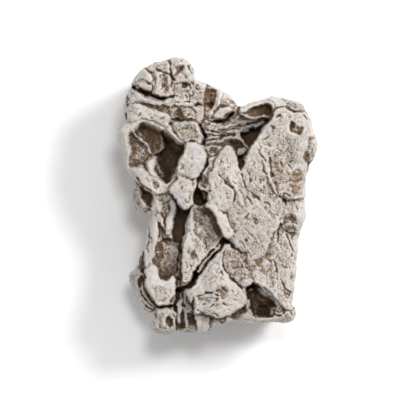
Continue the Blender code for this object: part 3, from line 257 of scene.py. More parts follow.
band = {
    "bandRamp": plate(17.3, lean=(0.05, 0.16), rough=0.35, stain=0.22, grain=1, edge=[
        (236, 117), (242, 113.5), (250, 116.5), (258, 117.5), (268, 117.5), (264, 121), (255, 122), (247, 124.5),
        (240, 127), (230, 128.5), (226, 126), (231, 121)]),
    "bandFan": plate(17.2, lean=(0.1, 0.14), round=0.5, rough=0.8, stain=0.42, grain=1.5, edge=[
        (210, 128), (216, 125), (224, 123.5), (231, 119), (238, 114.5), (241, 113), (240, 118), (233, 123),
        (226, 127.5), (216, 130.5), (209, 131)]),
    "holeBrow": plate(17.2, lean=(0.1, 0.1), round=0.4, rough=0.2, stain=0.08, grain=0.5, edge=[
        (249, 127.5), (252, 124.5), (258, 123), (266, 120.5), (263.5, 125), (256, 127), (250.5, 129.5)]),
    "holeCheek": plate(16.6, round=0.5, crown=0.3, rough=0.6, stain=0.25, edge=[
        (233, 132), (237, 129), (241, 131), (242, 135), (238, 137.5), (234, 136)]),
    "bandRidgeLow": ridge(0.7, 2.6, [
        (206, 145.5), (213, 144), (220, 140), (226, 138), (233, 137.6), (240, 139.5), (245, 143.5), (248, 148)]),
    "bandGrooveLow": crack(0.7, [1.5, 2.8, 2.4, 1.6], 0.2, [
        (208, 141), (218, 137.5), (227, 135.2), (236, 135.2)], stain=0.7),
    "bandBeads": plate(16.4, round=0.4, rough=1.2, stain=0.35, edge=[
        (205, 134), (212, 133.5), (219, 135), (218, 139.5), (211, 141), (206, 139)]),
    "bandLump": plate(20.6, round=0.5, crown=0.2, rough=0.9, stain=0.22, edge=[
        (203, 147.5), (209, 144.8), (216, 144.5), (221, 147), (219, 153), (216, 158), (209, 158.5), (205, 154)]),
    "bandDimple": pit(0.8, stain=0.6, rough=1.2, edge=[
        (207, 147.5), (211, 146), (217, 147.5), (215.5, 153), (211, 154.5), (208, 151.5)]),
    "bandUnder": pit(1, dark=0.1, rough=0.9, wall=0.6, edge=[
        (228, 141), (233, 139.5), (239, 141.5), (244, 145.5), (245, 150), (238, 153), (233.5, 148)]),
    "bandSlit": crack(1.8, [2, 3, 3, 2.2], 0.8, [(203, 131), (205, 136), (205.5, 141.5), (203, 146)]),
}
for number, (startX, startY, middleX, middleY, endX, endY) in enumerate((      # the wrinkled strands of the neck
        (263, 118.6, 250, 119.6, 236, 121.6), (258, 119.4, 240, 123.4, 224, 126.6),
        (264, 121.4, 247, 125.2, 233, 131), (243, 121.8, 231, 125, 216, 127.6),
        (249, 125.6, 240, 130.4, 229, 133.4), (234, 126.4, 222, 129.8, 209, 129.6),
        (232, 130.6, 219, 132.8, 206, 132.2), (226, 134, 216, 136, 206, 138.6),
        (240, 132.2, 231, 136.4, 221, 137.4), (221, 139.2, 213, 141, 205, 142.6),
        (238, 136.6, 227, 139, 217, 142.2))):
    letter = "ABCDEFGHIJK"[number]
    band["strand" + letter] = ridge(0.55, [1.2, 2.2 - 0.3 * (number % 3), 1.3], [
        (startX, startY), (middleX, middleY), (endX, endY)], stain=0.12)
    band["gap" + letter] = crack(0.7, [0.8, 1.3 + 0.3 * (number % 2), 0.9], 0.35, [
        (startX - 3, startY + 2), (middleX, middleY + 1.9), (endX + 2, endY + 1.8)], stain=0.75)
for number in range(4):
    band["hatch" + "ABCD"[number]] = crack(0.8, 1.3, 0.6, [
        (233.5 + 2.4 * number, 147.5 + 1.2 * number), (237 + 2.2 * number, 143.4 + 0.8 * number)])

topRight = {
    "topLedge": plate(20.4, lean=(-0.05, 0), round=0.6, rough=0.5, stain=0.3, edge=[
        (240, 108), (252, 102), (268, 96), (280, 95.5), (292, 98.5), (304, 103), (310, 116), (300, 114), (288, 108),
        (276, 110), (268, 117), (256, 118.5), (244, 116.5)]),
    "topRim": ridge(0.5, 3, [(241, 110.5), (247, 108), (256, 104), (263, 101.8), (268, 101)]),
    "topRoll": plate(21.2, lean=(0.05, -0.1), round=0.5, rough=0.2, grain=0.5, edge=[
        (264, 98.5), (271, 96), (279, 97), (284, 101), (288, 105.5), (284, 107.5), (277, 107), (271, 109),
        (266, 103.5)]),
    "rollArc": crack(0.7, 1.4, 0.5, [(266, 102), (270, 101), (274, 102.5), (275.5, 105.5)]),
    "topCrack": crack(1.1, [1.6, 2, 1.8, 1.4], 0.85, [(279.5, 97), (283.5, 100.5), (288.5, 104.5), (291, 107.5)]),
    "topBeads": plate(20.4, lean=(-0.1, 0), round=0.5, rough=1.3, stain=0.42, edge=[
        (284, 100), (292, 100.5), (299, 103), (302, 109), (297, 112), (291, 108)]),
    "lensHollow": pit(1.4, gold=0.8, floor=17.8, stain=0.62, rough=0.35, wall=0.7, grain=1, edge=[
        (241.5, 112.4), (247.6, 109.6), (254, 106.4), (260.4, 104.6), (266, 103.2), (271.4, 105.5), (272.4, 110),
        (271.4, 114.2), (265.2, 115.9), (257.2, 117), (250, 115.9)]),
    "lensBrow": crack(1, [1.2, 2, 2, 1.4], 0.5, [(243, 111.8), (250, 108.6), (258, 105.8), (266, 103.8)]),
    "lensCheek": pit(0.8, stain=0.95, dark=0.2, rough=0.7, edge=[
        (266, 107), (270, 106), (272, 110), (271, 114.5), (266, 114.5)]),
}

cavity = {
    "cavityShallow": pit(3.2, floor=15.4, wall=1.4, stain=0.45, dark=0, rough=1.3, grain=0.8, edge=[
        (131, 130), (136, 126.5), (139, 122.5), (146.5, 123), (157.4, 127.5), (165, 131), (174, 134), (182, 143),
        (184, 151), (179, 163), (172, 178), (166, 183), (157, 180), (148, 174), (139, 168), (128.5, 167),
        (127.2, 160), (128.2, 152), (127, 145), (126.2, 138)]),
    "goldWall": pit(1.6, floor=14.2, wall=2.4, soft=0.8, stain=0.57, dark=0, rough=0.9, grain=2.2, gold=1.25, edge=[
        (136.5, 127), (140, 122.6), (147, 121), (156, 124.5), (164, 129.5), (167, 136), (165, 146), (162, 156),
        (156, 160), (151, 152), (146, 144), (140, 136)]),
    "cavityDeep": pit(4, gold=0, floor=11, wall=0.8, stain=0.95, dark=0.8, rough=0.5, edge=[
        (160, 131), (168, 132.5), (175, 136), (183, 145.5), (183, 152), (179, 160), (176.5, 167), (172, 176.5),
        (168, 182.5), (164, 182), (163, 175), (160, 169), (156, 160), (154, 154), (160, 150), (163, 144)]),
    "goldShade": pit(0.6, gold=0.8, rough=0.5, soft=1.6, edge=[
        (136, 128), (139, 124), (145, 124), (145, 132), (142, 138), (138.5, 134)]),
    "goldGroove": crack(0.5, 1.6, 0.15, [(145, 126), (149, 133), (151.5, 142), (153, 151)], stain=0.85),
    "goldFold": crack(0.4, 1.5, 0.1, [(152, 127), (156, 133), (160, 140)], stain=0.85),
    "redWall": plate(12.6, lean=(-0.5, 0), round=0.4, rough=0.6, stain=0.95, wall=3, edge=[
        (153, 152), (158, 154), (161, 162), (164, 172), (165, 182), (160, 178), (155, 168), (152, 160)]),
    "browUnder": plate(14, gold=0.8, lean=(-0.2, 0.3), round=0.4, rough=0.5, stain=0.8, wall=3, edge=[
        (172, 139), (178, 141.5), (184, 145), (183, 150), (178, 149.5), (173, 145)]),
    "cavityCrest": ridge(1.4, 1.8, [
        (131.5, 130.5), (138, 137.5), (143.5, 142), (148, 146.5), (150, 151.5)], stain=0.15),
    "cavityCrestTwo": ridge(0.5, 1.2, [(136, 130), (140.5, 134.5), (143, 138)], stain=0.4),
    "crestLump": plate(15.6, round=0.4, rough=0.3, stain=0.12, edge=[
        (146.5, 149), (149.5, 147), (150.5, 151.5), (148.5, 154)]),
    "tooth": plate(18, lean=(-0.08, 0.1), round=0.5, rough=0.1, stain=0.06, grain=0.3, wall=5, edge=[
        (146.8, 161), (151, 158.2), (154, 159), (154.6, 164), (153, 170), (157.4, 176.8), (163.5, 184), (160, 183.5),
        (156, 180), (150, 174), (145.8, 167)]),
    "toothSide": plate(15.4, round=0.4, rough=0.5, stain=0.35, grain=1.3, wall=4, edge=[
        (155.6, 168), (159.5, 168.5), (163, 177), (164, 183.5), (159.5, 178), (155.5, 172)]),
    "cavityFlank": plate(18.7, round=0.5, rough=0.5, stain=0.22, grain=1.8, edge=[
        (128, 168), (133, 166), (140, 167), (145, 172), (152, 177), (158, 182), (161, 186), (158, 192), (154, 192),
        (147, 187.5), (141, 182), (134, 175.5)]),
    "flankGold": pit(0.5, stain=0.62, rough=1.2, soft=1, edge=[
        (150, 177), (156, 181), (160, 186), (157, 190), (152, 186)]),
    "cavityBrow": plate(20, round=0.4, rough=0.2, stain=0.05, grain=0.4, wall=6, edge=[
        (164.5, 129), (167.5, 124.5), (171.3, 126.5), (172.7, 131), (176.4, 136), (182.4, 140.4), (182, 143.2),
        (176.8, 140.8), (172.4, 136.5), (169.3, 133.5)]),
    "notch": crack(2.4, [2.2, 2.4, 2.2, 2, 1.5], 0.75, [
        (135.5, 177.5), (138.5, 181), (143, 185), (149, 189.4), (155, 193)]),
}

finger = {
    "pebble": plate(20.6, crown=0.5, rough=0.8, stain=0.44, grain=1.5, speck=1.2, edge=[
        (171.5, 122.6), (176, 120.6), (185, 120.8), (193, 120.8), (197, 123.3), (200, 129), (202, 136), (201, 142),
        (199, 146), (190, 146), (184, 142), (178.5, 138.6), (174.4, 131.3)]),
    "pebbleRim": ridge(0.25, 3.2, [(186, 122), (194, 123), (198, 129), (200, 136), (199, 142)], stain=0.08),
    "pebbleArc": crack(0.3, 1.2, 0.2, [(194, 125), (195.5, 131), (193, 136), (189, 139)], stain=0.5),
    "pebbleSeam": crack(0.3, 1.2, 0.2, [(175, 124), (178, 130), (183, 136)], stain=0.5),
    "fingerSide": plate(18.6, lean=(0.35, 0.1), round=0.4, rough=0.2, stain=0.22, grain=1.2, wall=5, edge=[
        (177.5, 172), (178, 178), (174, 183), (169.5, 186), (168, 183), (171.5, 177), (175, 170)]),
    "fingerLower": plate(21.8, lean=(0, 0.03), round=0.9, crown=0.9, rough=0.5, stain=0.06, grain=0.9, speck=0.9,
        edge=[
        (171, 184), (176, 178), (177, 172), (186, 174), (196, 176), (196.8, 184), (195.6, 189.5), (193.2, 194),
        (192.5, 201.6), (190.7, 206.5), (186.5, 210), (182.2, 209), (178.6, 205), (176, 201), (172.5, 197),
        (168.3, 191), (168.3, 187)]),
    "fingerUpper": plate(22.7, round=1, crown=1.1, stain=0.02, speck=0.6, edge=[
        (184, 144), (187.7, 141.5), (192.5, 141), (198, 143.2), (203, 147), (206, 153), (206.6, 159), (204.4, 166),
        (202, 171.3), (198, 177), (193.2, 180), (189.5, 178.8), (184.7, 176.6), (180.4, 174.6), (177.4, 172.5),
        (176.8, 168), (178.6, 161.6), (182, 154.4), (184.4, 149)]),
    "fingerWaist": crack(0.8, [1.2, 1.8, 2, 1.4], 0.5, [(184.5, 176.8), (188.5, 179), (191.5, 180.6), (196, 178.2)]),
    "fingerHook": crack(0.6, 1.5, 0.5, [(183, 169), (182, 172), (184, 174.4)]),
    "fingerSmudge": pit(0.5, stain=0.6, rough=1, soft=1, edge=[
        (178.4, 164), (182.4, 163.4), (184, 168), (181, 171.4), (178.4, 170)]),
    "fingerDip": pit(0.4, stain=0.3, soft=1, rough=0.2, edge=[
        (189.5, 157.5), (192.3, 157.5), (192, 160.3), (190, 160)]),
    "fingerSlit": crack(0.4, 1.1, 0.4, [(195.5, 149), (199.3, 149.4)]),
    "fingerFlute": crack(0.7, [1.2, 2.2, 1.6], 0.2, [(186.4, 181), (184.6, 186), (181.4, 190)], stain=0.6),
    "fingerFluteTwo": crack(0.6, [1.2, 2, 1.3], 0.2, [(179.6, 182), (176.8, 187), (174.4, 190.6)], stain=0.55),
    "fingerFluteThree": crack(0.5, [1.2, 1.8, 1.3], 0.2, [(191, 190), (189.4, 196), (189.8, 201)], stain=0.5),
    "fingerSpot": pit(0.5, stain=0.55, rough=1, soft=1, edge=[
        (190.6, 183), (194.6, 181.6), (195, 186), (192, 188.4)]),
    "fingerRing": crack(0.5, 1.3, 0.4, [(192, 184), (194, 183.2), (195, 185.5), (193.2, 187)]),
    "fingerPocks": crack(0.5, 1.6, 0.3, [(184, 200), (186, 202.5), (188, 201)]),
    "fingerNotch": crack(1.2, 1.8, 0.7, [(174.2, 198.8), (176, 201), (176.6, 204)]),
    "pebbleCrack": crack(2.6, [1.8, 2.2, 2.6, 2.8, 3, 2.6, 2.2, 2, 1.8, 1.8, 1.6], 0.85, [
        (188, 118.5), (194.5, 119.6), (199.6, 123.6), (202.6, 130), (204, 138), (203.5, 144.4), (207, 150),
        (208.6, 157), (207, 164), (204, 171), (200, 177.5)], stain=0.95),
    "underPebble": crack(1.8, [1.4, 1.6, 1.6, 2.4], 0.7, [(184, 142.6), (190, 140.6), (196, 142), (201, 145)]),
}

tongue = {
    "sideUpper": plate(22, lean=(-0.16, 0.05), round=0.8, rough=0.45, stain=0.14, grain=0.8, speck=0.8, edge=[
        (262, 145), (290, 152), (305, 158), (309, 170), (307, 184), (305, 196), (296, 199), (285, 199), (274, 192),
        (268, 177), (264, 166)]),
    "leftFill": plate(21.5, lean=(0.05, 0), round=0.4, rough=0.5, stain=0.34, grain=1, wall=30, edge=[
        (209, 158), (214, 156.5), (222, 156), (226, 170), (224, 190), (212, 196), (206, 192), (199, 189),
        (197.6, 183), (201, 177.5), (203.4, 172), (205.6, 166.5), (207.6, 162)]),
    "tongue": plate(22.4, lean=(-0.02, 0.11), round=0.9, crown=0.9, rough=0.3, stain=0.15, grain=1, speck=1, edge=[
        (272, 117), (276, 109), (284, 107), (291, 111), (298, 114), (307, 113), (312, 124), (316, 138), (318.5, 146),
        (314, 158), (306, 163), (294, 161), (282, 157), (272, 160), (273, 174), (278, 190), (283, 201), (283.4, 213),
        (281, 222.5), (277.6, 228), (272, 237), (269, 248), (263, 254), (253, 258.5), (243.5, 252), (236.7, 246.6),
        (230.2, 239.4), (226, 236), (222, 226), (216, 217), (211, 208), (207, 199), (208, 191), (209, 183),
        (208.6, 175), (212, 168), (214, 161), (217.4, 155), (220.5, 149), (223, 146.4), (227.3, 145.2), (231.5, 147),
        (235, 152), (237.6, 160), (239.6, 168), (242, 168.5), (244.4, 161), (247, 154), (251, 147), (259, 135),
        (266, 125)]),
    "tongueLobe": plate(21.9, lean=(-0.06, 0.05), round=0.6, crown=0.3, rough=0.2, stain=0.08, grain=0.6, speck=0.6,
        edge=[
        (205, 206), (209, 201.5), (213, 204), (219, 209), (223.5, 213), (227, 216), (230, 222.5), (233, 228),
        (235.4, 232.4), (232.6, 237), (227.3, 239), (223.4, 236.2), (221.4, 231.4), (220.6, 228), (217.6, 222),
        (215, 216.4), (211.2, 211)]),
    "leftCheek": plate(22, lean=(-0.05, 0), round=0.3, crown=0.1, rough=0.2, speck=0.7, edge=[
        (209, 172), (214, 170), (219, 174), (224, 181), (229, 187), (233, 192), (234, 200), (230, 208), (224, 212),
        (216, 209), (210.5, 203), (213, 197), (209, 193), (210, 186), (207.5, 180)]),
    "blockPit": pit(0.8, stain=0.45, dark=0, rough=1.3, soft=0.8, edge=[
        (289, 126), (290.6, 122.8), (294, 121.4), (296.5, 124.5), (302, 125), (303.6, 129), (300, 133.4),
        (294, 132.6), (290.6, 130.5)]),
    "blockPitLobe": pit(0.7, stain=0.85, dark=0.1, edge=[
        (290, 125), (292, 122), (294.5, 122.5), (294.5, 127), (291.5, 129)]),
    "blockPitFoot": crack(0.56, [1.8, 2.6, 1.6], 0.39, [(291.5, 130.5), (297, 132.8), (301.5, 131.5)]),
    "lumpSeam": crack(0.64, [1.4, 2, 1.6, 1.4, 1.2], 0.26, [
        (272.5, 109), (277, 107.2), (284, 107), (290, 110), (295, 115.5)], stain=0.6),
    "lumpSeamRight": crack(0.64, [1.6, 1.8, 1.4], 0.26, [(295, 113), (302, 113), (307, 118)], stain=0.6),
    "topSlot": crack(0.72, [1.4, 2.2, 1.8], 0.59, [(275.6, 117.4), (278, 116.6), (280.2, 115.6)]),
    "topRing": crack(0.24, 1.3, 0.13, [(284, 113), (286, 112), (288.2, 113.4), (286.4, 114.6)], stain=0.45),
    "topMark": pit(0.6, stain=0.6, rough=1, wall=0.4, edge=[
        (269, 126), (271.5, 124.8), (276, 127), (275.5, 129.2), (271.5, 128.6)]),
    "topMarkLine": crack(0.4, 1.4, 0.33, [(269.5, 125.6), (272, 128), (276, 129)]),
    "topDot": crack(0.4, 1.5, 0.26, [(272.8, 131), (273.4, 132.4)]),
    "sweepMark": pit(0.5, stain=0.5, rough=0.9, edge=[
        (262, 139.5), (266, 136.5), (271, 134.5), (270, 137.5), (265, 140)]),
    "sweepLine": crack(0.4, [1.2, 1.8, 1.2], 0.33, [(258.5, 139.8), (263, 139.2), (268, 137)]),
    "rightDent": pit(1.2, stain=0.5, dark=0, rough=1.3, wall=0.8, soft=0.6, edge=[
        (308.5, 137), (314, 135), (318, 139), (318, 150), (314, 160), (309.5, 164), (305, 164), (303.4, 158),
        (305.8, 147)]),
    "rightDentFoot": pit(0.8, stain=0.9, dark=0.3, rough=0.9, edge=[
        (304.5, 153), (308, 151), (311, 156), (309, 162.5), (305.4, 162)]),
    "shoulderBlot": tint(gold=0.9, stain=0.5, rough=0.9, speck=1.2, soft=2.5, edge=[
        (270, 158), (276, 155), (284, 156), (289, 162), (285, 172), (281, 184), (277, 188), (273, 176)]),
    "shoulderPits": tint(stain=0.28, rough=0.8, speck=1, soft=2.5, edge=[
        (279, 148), (292, 150), (296, 160), (289, 168), (280, 165)]),
    "lumpTint": tint(stain=0.2, rough=0.5, speck=0.8, soft=2.5, edge=[
        (262, 120), (275, 130), (290, 142), (300, 138), (290, 150), (270, 146), (258, 146)]),
    "armGroove": crack(0.48, [1.2, 2, 2, 1.2], 0.23, [(257, 151), (261, 155), (264, 158), (267, 163)], stain=0.5),
    "armGrooveLow": crack(0.48, [1.2, 1.8, 2.2, 1.4], 0.23, [
        (260.5, 164.5), (263, 169), (265.5, 173.4), (268.5, 173.6)], stain=0.55),
    "vHole": pit(3.6, floor=12.6, wall=0.4, stain=0.95, dark=0.9, rough=0.5, edge=[
        (241.3, 132.6), (244.5, 131.4), (249.4, 131), (250, 128), (254, 126.2), (257, 127.6), (263.6, 125),
        (262, 129), (258, 134.8), (254, 141.2), (250.8, 146), (247.6, 145.2), (244.2, 140.4), (242, 136.4)]),
    "vNotch": crack(3.6, [6.2, 6.6, 5.6, 4, 2.4, 1], 0.95, [
        (244, 150.5), (242.4, 155.5), (241.6, 160), (241.2, 164), (241, 168), (241.2, 171.5)], stain=0.95),
    "notchChip": plate(17.8, round=0.4, rough=0.5, stain=0.2, edge=[
        (237, 151), (241, 147.8), (246.6, 148.4), (246, 152), (241.5, 155), (237.8, 154.6)]),
    "pocket": pit(3.5, floor=14.6, wall=0.6, stain=0.95, dark=0.75, rough=0.7, edge=[
        (193.6, 190), (197, 188.6), (200, 189.6), (203, 193), (203.4, 198), (206, 202), (202, 204.6), (195, 204.4),
        (192.4, 202), (192.6, 195)]),
    "pocketBrown": pit(0.9, stain=0.72, rough=1.4, wall=0.7, soft=0.8, edge=[
        (199.5, 177), (204, 174), (207.5, 178), (208, 184), (206, 190), (201, 189), (197.5, 188), (197.5, 181)]),
    "pocketCurl": crack(0.56, 1.4, 0.39, [(200, 180), (203.5, 181), (206.5, 183), (207.5, 180.5)]),
    "pocketTail": pit(1, edge=[(203, 196), (206, 198), (210, 202), (211, 205), (208, 204.6), (204.5, 201)]),
    "leftSlit": crack(0.64, [2, 2, 1.4], 0.52, [(204.5, 190.4), (208, 191.2), (210, 191.5)]),
    "leftSlitTail": crack(0.4, 1.3, 0.33, [(211.5, 191.8), (214.6, 192.4)]),
    "tongueGroove": crack(0.88, [1.4, 2, 2.6, 3, 2.6, 2.2, 1.6], 0.33, [
        (220, 175.4), (224, 179.6), (228, 184.4), (231.6, 188.4), (233.8, 193), (234.6, 197),
        (234.3, 201)], stain=0.8),
    "tongueBrown": pit(0.6, gold=1, stain=0.72, rough=0.4, soft=0.6, edge=[
        (225.6, 176.4), (228, 175.6), (229.6, 180), (231.4, 184.6), (230, 186.8), (227.4, 182)]),
    "tongueCrease": crack(0.32, 1.2, 0.2, [(231.8, 177), (234, 181), (236.2, 184.8)], stain=0.5),
    "tongueRidge": ridge(0.3, 3, [(230, 178), (233, 184), (237, 190), (240, 197), (242, 204)], stain=0.08),
    "streakA": crack(0.64, [1.4, 2.6, 3, 2.4, 1.2], 0.29, [
        (241.6, 174), (243, 179), (245, 184), (247.4, 188.4), (249, 191)], stain=0.65),
    "streakB": crack(0.56, [1.4, 2, 1.8, 2, 1.2], 0.29, [
        (243.2, 194.1), (246.5, 197), (249.6, 201.1), (252.4, 204.5), (254, 208.5)], stain=0.6),
    "streakC": crack(0.56, [1.6, 3.2, 2.2, 1.4], 0.33, [
        (252, 194), (254.6, 196), (257.6, 197), (260, 200.6)], stain=0.7),
    "streakD": crack(0.48, [1.2, 1.8, 1.6, 1.4], 0.39, [(264.5, 201), (267, 203.4), (270, 206.2), (270.6, 208)]),
    "streakE": crack(0.32, 1.3, 0.33, [(264.4, 186.4), (263, 189.6), (264.2, 192.4)]),
    "streakF": crack(0.32, 1.3, 0.33, [(248.6, 213), (247.2, 216), (247.4, 219.4)]),
    "streakG": crack(0.48, [1.2, 2, 1.2], 0.39, [(250.6, 178.4), (251, 181), (250.8, 183.6)]),
    "streakH": crack(0.4, [1.2, 1.8, 1.2], 0.33, [(254, 174), (254.8, 176.6), (255.8, 178.8)]),
    "streakI": crack(0.32, 1.4, 0.26, [(259.8, 180), (259.4, 183.6)]),
    "streakJ": crack(0.32, 1.5, 0.26, [(249, 172.6), (249.2, 175.4)]),
    "streakK": crack(0.32, 1.4, 0.26, [(227, 197.6), (228.6, 199.8)]),
    "tongueFold": crack(0.56, [1.2, 1.6, 1.8, 1.6, 1.4], 0.33, [
        (222.8, 213), (226.7, 213.2), (228.8, 218.3), (231, 223.5), (234, 229)], stain=0.6),
    "tongueNick": crack(0.8, [1, 2, 1.8], 0.55, [(239, 228.6), (236.6, 231.2), (234.6, 233.2)]),
    "tongueSpot": pit(0.4, stain=0.62, rough=0.5, wall=0.4, edge=[
        (253.4, 219), (256, 218.4), (258.6, 221.6), (257.6, 224.2), (255, 222.8)]),
    "tonguePit": pit(0.6, stain=0.62, wall=0.4, edge=[
        (244.4, 238), (247, 236.8), (248.4, 239.4), (247, 241.4), (245, 240.4)]),
    "tongueDots": crack(0.32, [1.6, 1.2, 1.6], 0.33, [(252.8, 250.6), (255, 250.4), (257.2, 249.6)]),
    "tongueScar": crack(0.4, [1.4, 1.8, 1.2], 0.33, [(272.4, 236), (270.4, 239), (267.6, 241.4)]),
    "rightFurrow": crack(0.88, [1.6, 2.6, 3, 2.4, 2, 2], 0.2, [
        (271, 158), (271.6, 166), (272.4, 174), (274.6, 182), (277.4, 191), (280.6, 197)], stain=0.72),
    "rightFurrowTwo": crack(0.56, [1.2, 1.6, 1.6, 1.4], 0.23, [
        (274.6, 176), (276.6, 183.3), (279, 190), (281, 194)], stain=0.6),
    "rightShade": crack(0.72, [1.6, 3, 3.4, 3, 2.4], 0.13, [
        (283.6, 197), (285.4, 203), (285.6, 210), (284, 218), (281, 225)], stain=0.55),
}

